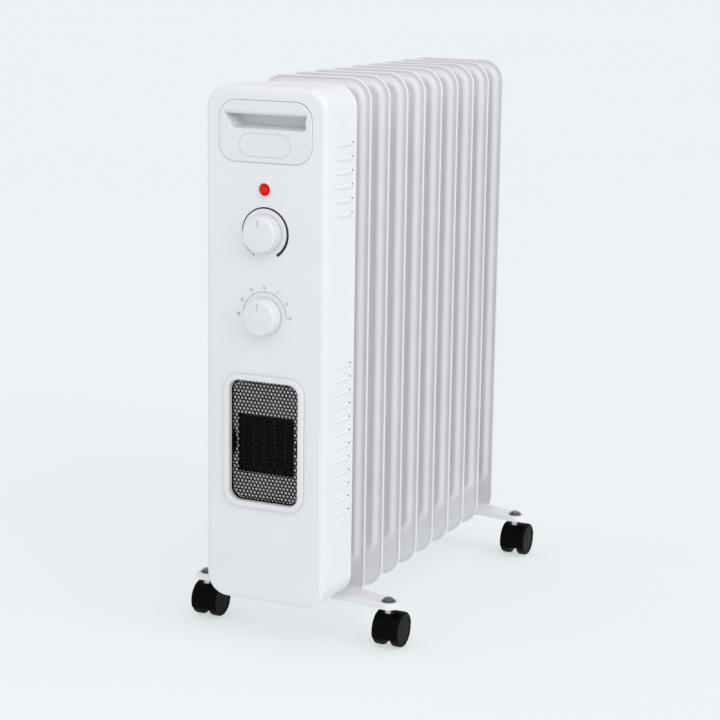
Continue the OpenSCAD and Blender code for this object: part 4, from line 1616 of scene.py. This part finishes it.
@dataclass
class Foot:
    """A stamped steel foot, swept forward to its round ends."""

    node: str
    stem_x: float
    end_radius: float = 14 * MM
    shoulder: float = 56 * MM
    sweep: float = 16 * MM
    half_width: float = 19.5 * MM
    sheet: float = 1.5 * MM
    rise: float = 9 * MM
    collector: float = 20 * MM
    cradle_half: float = 13 * MM
    cradle_depth: float = 34 * MM

    def __post_init__(self) -> None:
        """Reads the foot's place from the frame."""
        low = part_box(self.node)[0]
        self.stem_y = low.y + self.end_radius
        self.low = low.z
        self.top = self.low + self.rise

    def plan(self) -> Plan:
        """Gives the foot's outline about its stems' line, anticlockwise, with eased shoulders.

        Returns:
            Points in X and Y.
        """
        front, back = self.sweep - self.half_width, self.sweep + self.half_width
        points: Plan = []
        for side, start in ((1, -90.0), (-1, 90.0)):
            for step in range(13):
                angle = math.radians(start + 180.0 * step / 12)
                points.append((side * self.stem_x + self.end_radius * math.cos(angle),
                               self.end_radius * math.sin(angle)))
            edge = back if side > 0 else front
            points += [(side * self.shoulder, edge), (-side * self.shoulder, edge)]
        for _ in range(3):
            eased: Plan = []
            for (x0, y0), (x1, y1) in zip(points, points[1:] + points[:1]):
                eased += [(0.75 * x0 + 0.25 * x1, 0.75 * y0 + 0.25 * y1),
                          (0.25 * x0 + 0.75 * x1, 0.25 * y0 + 0.75 * y1)]
            points = eased
        return points

    def ring(self, inset: float, z: float) -> Ring:
        """Gives the outline, taken in along its own normals, at a height.

        Args:
            inset: how far it is taken in.
            z: the height.

        Returns:
            The ring.
        """
        points = self.plan()
        ring: Ring = []
        for i, (x, y) in enumerate(points):
            (x0, y0), (x1, y1) = points[i - 1], points[(i + 1) % len(points)]
            along = Vector((x1 - x0, y1 - y0)).normalized()
            ring.append(Vector((x - along.y * inset, self.stem_y + y + along.x * inset, z)))
        return ring

    def build(self) -> None:
        """Makes the stamped channel and the cradle under the collector."""
        t = self.top
        steps = ((0.0, self.low + 2.5 * MM), (0.2 * MM, self.low + 4.0 * MM),
                 (0.35 * MM, t - 2.6 * MM), (0.7 * MM, t - 1.5 * MM), (1.4 * MM, t - 0.6 * MM),
                 (2.4 * MM, t - 0.12 * MM), (3.4 * MM, t))
        maker = bmesh.new()
        maker.faces.new(skin(maker, [self.ring(inset, z) for inset, z in steps])[-1])
        channel = thicken(object_of("foot_skin", maker), self.sheet)
        hub_low, hub_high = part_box("element_flange")
        centre, radius, side = (hub_low.z + hub_high.z) / 2, self.collector, self.cradle_half
        ring = [Vector((side, 0, t - 0.8 * MM)), Vector((-side, 0, t - 0.8 * MM))]
        ring += [Vector((radius * math.sin(angle), 0, centre - radius * math.cos(angle)))
                 for angle in (math.asin(side / radius) * k / 6 for k in range(-6, 7))]
        ends = [Vector((0, self.stem_y + self.sweep + past, 0))
                for past in (-self.cradle_depth / 2, self.cradle_depth / 2)]
        cradle = loft("cradle", [[point + end for point in ring] for end in ends])
        foot = join(f"{self.node}_stamping", [channel, cradle])
        hand_in(soften(foot, 35.0), Paint.FOOT, [self.node])


@dataclass
class Castors:
    """The twin-wheel castors: hoods, wheels and the nuts on their stems."""

    corners: tuple[str, ...] = ("front_right", "front_left", "rear_right", "rear_left")
    wheel_radius: float = 20 * MM
    hood_wall: float = 1.2 * MM
    trail: float = 9 * MM
    web_half: float = 5.5 * MM
    stem_radius: float = 4 * MM

    def __post_init__(self) -> None:
        """Reads the castors' sizes from the frame."""
        low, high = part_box("castor_hood_front_right")
        self.half = (high.x - low.x) / 2
        self.hood_radius = self.wheel_radius + 0.4 * MM + self.hood_wall
        low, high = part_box("wheel_front_right_right")
        self.wheel_width = high.x - low.x

    def centre(self, corner: str) -> Vector:
        """Gives the middle of a castor's axle."""
        low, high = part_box(f"castor_axle_{corner}")
        return (low + high) / 2

    def hood(self) -> bpy.types.Object:
        """Makes a hood about the axle's middle, with round shoulders.

        Returns:
            The hood with its wells, its cut-outs and its boss.
        """
        r, h, f = self.hood_radius, self.half, 2.6 * MM
        near = [(r - f * inward, h - f * behind) for inward, behind in quarter_round(5)]
        profile = [(0.0, -h), *((radius, -along) for radius, along in reversed(near)), *near, (0.0, h)]
        body = lathe("hood_shape", profile, "X", 96)
        big, well = 60 * MM, self.wheel_radius + 0.5 * MM
        cutters = [rod("well", well, (side * self.web_half, 0, 0), (side * big, 0, 0), 96)
                   for side in (-1, 1)]
        cutters.append(block("below", (-big, -big, -big), (big, big, -8 * MM)))
        cutters.append(block("behind", (-big, 13 * MM, -big), (big, big + 13 * MM, 2 * MM)))
        bore = self.stem_radius + 0.2 * MM
        cutters.append(rod("stem_hole", bore, (0, -self.trail, 5 * MM), (0, -self.trail, big)))
        boss = lathe("boss", [(bore, 6 * MM), (6.6 * MM, 6 * MM), (6.6 * MM, 20.4 * MM),
                              (5.9 * MM, 21.2 * MM), (bore, 21.3 * MM), (bore, 6 * MM)], "Z", 40)
        boss = soften(moved(boss, (0, -self.trail, 0)), 34.0)
        return join("hood_shape", [soften(cut(body, cutters), 34.0, 0.35 * MM, 2), boss])

    def stems(self) -> bpy.types.Object:
        """Makes the stems, each with its collar and a turned thread above it.

        Returns:
            All the stems as one piece.
        """
        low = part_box("castor_stems")[0]
        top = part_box("castor_nuts")[0].z + 3.6 * MM
        r, collar = self.stem_radius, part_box("front_foot")[0].z + 1 * MM
        shape = [(0.0, low.z), (r, low.z), (r, collar), (6.4 * MM, collar + 0.1 * MM),
                 (6.4 * MM, collar + 5.6 * MM), (r, collar + 5.8 * MM)]
        turns = 8
        for i in range(turns):
            z = collar + 5.8 * MM + (top - collar - 6.2 * MM) * (i + 0.5) / turns
            shape += [(r, z - 0.25 * MM), (r - 0.4 * MM, z), (r, z + 0.25 * MM)]
        shape += [(r - 0.4 * MM, top), (0.0, top)]
        stem = soften(lathe("stem_shape", shape, "Z", 32), 30.0)
        return Repeats.at("threaded_stems", stem, Paint.ZINC,
                          [(x, y, 0.0) for x, y, _ in self.stem_places()])

    def stem_places(self) -> list[tuple[float, float, float]]:
        """Gives where each stem comes out of its foot.

        Returns:
            One place for each corner.
        """
        x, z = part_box("castor_stems")[1].x - 6.5 * MM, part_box("castor_nuts")[0].z
        axles = [self.centre(corner) for corner in self.corners]
        return [(math.copysign(x, axle.x), axle.y - self.trail, z) for axle in axles]

    def wheel(self, side: int) -> bpy.types.Object:
        """Makes a wheel about the axle's middle, on one side of it.

        Args:
            side: 1 for the right, -1 for the left.

        Returns:
            The wheel, with a dished face and a small boss.
        """
        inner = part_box("wheel_front_right_right")[0].x - self.centre("front_right").x
        r, w, f = self.wheel_radius, self.wheel_width, 2.0 * MM
        shape = [(2.7 * MM, 0.0), (r - 1.6 * MM, 0.0), (r - 0.5 * MM, 0.3 * MM), (r - 0.05 * MM, 1.4 * MM),
                 (r, w * 0.45), (r - 0.1 * MM, w - f)]
        shape += [(r - 0.1 * MM - f * inward, w - f * behind) for inward, behind in quarter_round(5)[1:]]
        shape += [(r - 3.4 * MM, w - 0.05 * MM), (r - 3.9 * MM, w - 0.6 * MM), (r - 5.0 * MM, w - 0.8 * MM),
                  (r * 0.45, w - 0.55 * MM), (2.2 * MM, w - 0.5 * MM), (1.9 * MM, w - 0.15 * MM),
                  (1.2 * MM, w), (0.0, w)]
        made = lathe("wheel_shape", [(radius, side * (inner + along)) for radius, along in shape],
                     "X", 72)
        return soften(made, 30.0)

    def nuts(self) -> bpy.types.Object:
        """Makes the lock nuts with their washers, one on each stem.

        Returns:
            All the nuts as one piece.
        """
        low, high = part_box("castor_nuts")
        height = (high.z - low.z) * 0.62
        flat, washer = 6.5 * MM, 8.2 * MM
        reach = flat / math.cos(math.pi / 6)

        def at(z: float, share: float) -> Ring:
            """Gives the hexagonal section at a height, as a share of its full width."""
            return [Vector((reach * share * math.cos(math.pi / 3 * k),
                            reach * share * math.sin(math.pi / 3 * k), z)) for k in range(6)]

        nut = loft("nut_body", [at(1.2 * MM, 0.95), at(1.5 * MM, 1.0), at(height - 2.4 * MM, 1.0),
                                at(height - 2.0 * MM, 0.93)])
        dome = lathe("nut_collar", [(0.0, height - 2.2 * MM), (5.6 * MM, height - 2.2 * MM),
                                    (5.3 * MM, height - 0.7 * MM), (4.4 * MM, height),
                                    (0.0, height)], "Z", 40)
        ring_washer = lathe("nut_washer", [(0.0, 0.0), (washer, 0.0), (washer, 0.9 * MM),
                                           (washer - 0.3 * MM, 1.2 * MM), (0.0, 1.2 * MM)], "Z", 40)
        shape = soften(join("nut_shape", [nut, dome, ring_washer]), 30.0, 0.15 * MM)
        return Repeats.at("stem_nuts", shape, Paint.NUT, self.stem_places())

    def build(self) -> None:
        """Makes every castor on its own body."""
        hood = self.hood()
        wheels = {1: self.wheel(1), -1: self.wheel(-1)}
        for corner in self.corners:
            place = self.centre(corner)
            made = moved(hood, place, f"hood_{corner}", copy=True)
            hand_in(made, Paint.CASTOR, [f"castor_hood_{corner}"], f"castor_{corner}")
            for side, label in ((1, "right"), (-1, "left")):
                turned = moved(wheels[side], place, f"tyre_{corner}_{label}", copy=True)
                node = f"wheel_{corner}_{label}"
                hand_in(turned, Paint.WHEEL, [node], f"{node}_roll")
        drop([hood, *wheels.values()])
        hand_in(self.nuts(), Paint.NUT, ["castor_nuts"])
        hand_in(self.stems(), Paint.ZINC, ["castor_stems"])


# ---- what the frame already shapes right -----------------------------------


@dataclass(frozen=True)
class Dressing:
    """The finishes of the frame's own nodes that keep their shape."""

    paints: tuple[tuple[Paint, tuple[str, ...]], ...] = (
        (Paint.HOUSING, ("back_plate",)),
        (Paint.FIN, ("collector_necks",)),
        (Paint.BLACK, ("outlet_duct", "blower_scroll", "blower_wheel", "tip_switch", "cord_gland")),
        (Paint.PHENOLIC, ("thermostat_body", "selector_body", "terminal_block")),
        (Paint.SHEATH, ("heating_element",)),
        (Paint.ZINC, ("thermostat_spindle", "selector_spindle", "motor_shaft", "fan_motor",
                      "filler_plug", "foot_clamps", "element_flange",
                      "thermal_cutout", "tip_pendulum", "castor_axle_front_right",
                      "castor_axle_front_left", "castor_axle_rear_right",
                      "castor_axle_rear_left")),
    )

    def build(self) -> None:
        """Puts each finish into its nodes' slots."""
        for paint, names in self.paints:
            for name in names:
                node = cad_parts[name]
                if not node.material_slots:
                    node.data.materials.append(paint.material)
                for slot in node.material_slots:
                    slot.material = paint.material
                LOG.info("%s keeps its shape", name)


# ---- the studio ------------------------------------------------------------


@dataclass
class Studio:
    """The pale floor, the soft light and the camera."""

    azimuth: float = 25.07
    elevation: float = 11.82
    roll: float = 0.82
    lens: float = 101.3
    shift: float = -0.0016
    eye: tuple[float, float, float] = (1.02705, -1.94257, 0.74352)

    def camera(self) -> None:
        """Puts the camera where it shows the front and the right side.

        The eye is measured from the middle of the housing's front face at its lowest edge.
        """
        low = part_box("front_cover")[0]
        a, e, r = (math.radians(v) for v in (self.azimuth, self.elevation, self.roll))
        back = Vector((math.sin(a) * math.cos(e), -math.cos(a) * math.cos(e), math.sin(e)))
        right = Vector((math.cos(a), math.sin(a), 0.0))
        up = back.cross(right)
        right, up = (right * math.cos(r) + up * math.sin(r), up * math.cos(r) - right * math.sin(r))
        data = bpy.data.cameras.new("camera")
        data.lens, data.sensor_width = self.lens, 36.0
        data.clip_end = 100.0
        data.shift_x = self.shift
        eye = bpy.data.objects.new("camera", data)
        place = Vector(self.eye) + Vector((0.0, low.y, low.z))
        eye.matrix_world = (Matrix.Translation(place)
                            @ Matrix((right, up, back)).transposed().to_4x4())
        bpy.context.scene.collection.objects.link(eye)
        bpy.context.scene.camera = eye

    def floor(self) -> None:
        """Lays a pale floor that runs out of sight."""
        maker = bmesh.new()
        bmesh.ops.create_circle(maker, cap_ends=True, segments=64, radius=60.0)
        ground = object_of("floor", maker)
        if ground.data.polygons[0].normal.z < 0:
            ground.data.flip_normals()
        pale = FloorFinish("pale_floor", (0.34, 0.355, 0.365), 0.95, grain=60.0, grain_depth=0.0002,
                           blotch=0.4, mottle=0.004, gloss_spread=0.02, specular=0.0)
        ground.data.materials.append(pale.material())

    def sun(self, name: str, towards: Sequence[float], strength: float, spread: float) -> None:
        """Adds a wide soft sun.

        Args:
            name: its name.
            towards: the direction that it shines from.
            strength: its strength.
            spread: how wide it is, in degrees.
        """
        data = bpy.data.lights.new(name, "SUN")
        data.energy, data.angle = strength, math.radians(spread)
        self.hang(data, (0.0, 0.0, 0.0), towards)

    def hang(self, data: bpy.types.Light, place: Sequence[float], towards: Sequence[float]) -> None:
        """Puts a light in the scene.

        Args:
            data: the light.
            place: where it hangs.
            towards: the direction that it shines from.
        """
        lamp = bpy.data.objects.new(data.name, data)
        lamp.location = place
        lamp.rotation_mode = "QUATERNION"
        lamp.rotation_quaternion = Vector(towards).to_track_quat("Z", "Y")
        bpy.context.scene.collection.objects.link(lamp)

    def panel(self, name: str, place: Sequence[float], target: Sequence[float],
              power: float, size: float) -> None:
        """Adds a square soft light that shines at a point.

        Args:
            name: its name.
            place: where it hangs.
            target: what it shines at.
            power: its power in watts.
            size: the length of its sides.
        """
        data = bpy.data.lights.new(name, "AREA")
        data.energy, data.size = power, size
        self.hang(data, place, Vector(place) - Vector(target))

    def sky(self) -> None:
        """Fills the room with even light."""
        world = bpy.data.worlds.new("room")
        bpy.context.scene.world = world
        world.use_nodes = True
        light = world.node_tree.nodes["Background"]
        light.inputs["Color"].default_value = (0.97, 0.985, 1.0, 1.0)
        light.inputs["Strength"].default_value = 0.84

    def build(self) -> None:
        """Sets up the whole studio."""
        self.floor()
        self.sky()
        self.sun("key", (0.90, -0.22, 0.50), 0.66, 40.0)
        self.panel("front", (0.55, -1.15, 1.35), (0.0, -0.2, 0.45), 2.6, 0.7)
        self.camera()
        bpy.context.scene.view_settings.view_transform = "Standard"


def main() -> None:
    """Builds every sub-assembly in order."""
    logging.basicConfig(level=logging.INFO, format="%(name)s: %(message)s")
    housing = Housing()
    stem_x = abs(Castors().centre("front_right").x)
    builders: list[tuple[str, Callable[[], None]]] = [
        ("studio", Studio().build),
        ("housing", housing.build),
        ("screws", CoverScrews().build),
        ("grip", Grip().build),
        ("pilot lamp", PilotLamp().build),
        ("thermostat knob", Knob(Dial.THERMOSTAT).build),
        ("selector knob", Knob(Dial.SELECTOR).build),
        ("dial marks", DialMarks(housing.front).build),
        ("outlet", Outlet().build),
        ("fins", FinStack().build),
        ("front foot", Foot("front_foot", stem_x).build),
        ("rear foot", Foot("rear_foot", stem_x).build),
        ("castors", Castors().build),
        ("frame's own pieces", Dressing().build),
    ]
    for label, build in builders:
        LOG.info("making the %s", label)
        build()


if __name__ == "__main__":
    main()
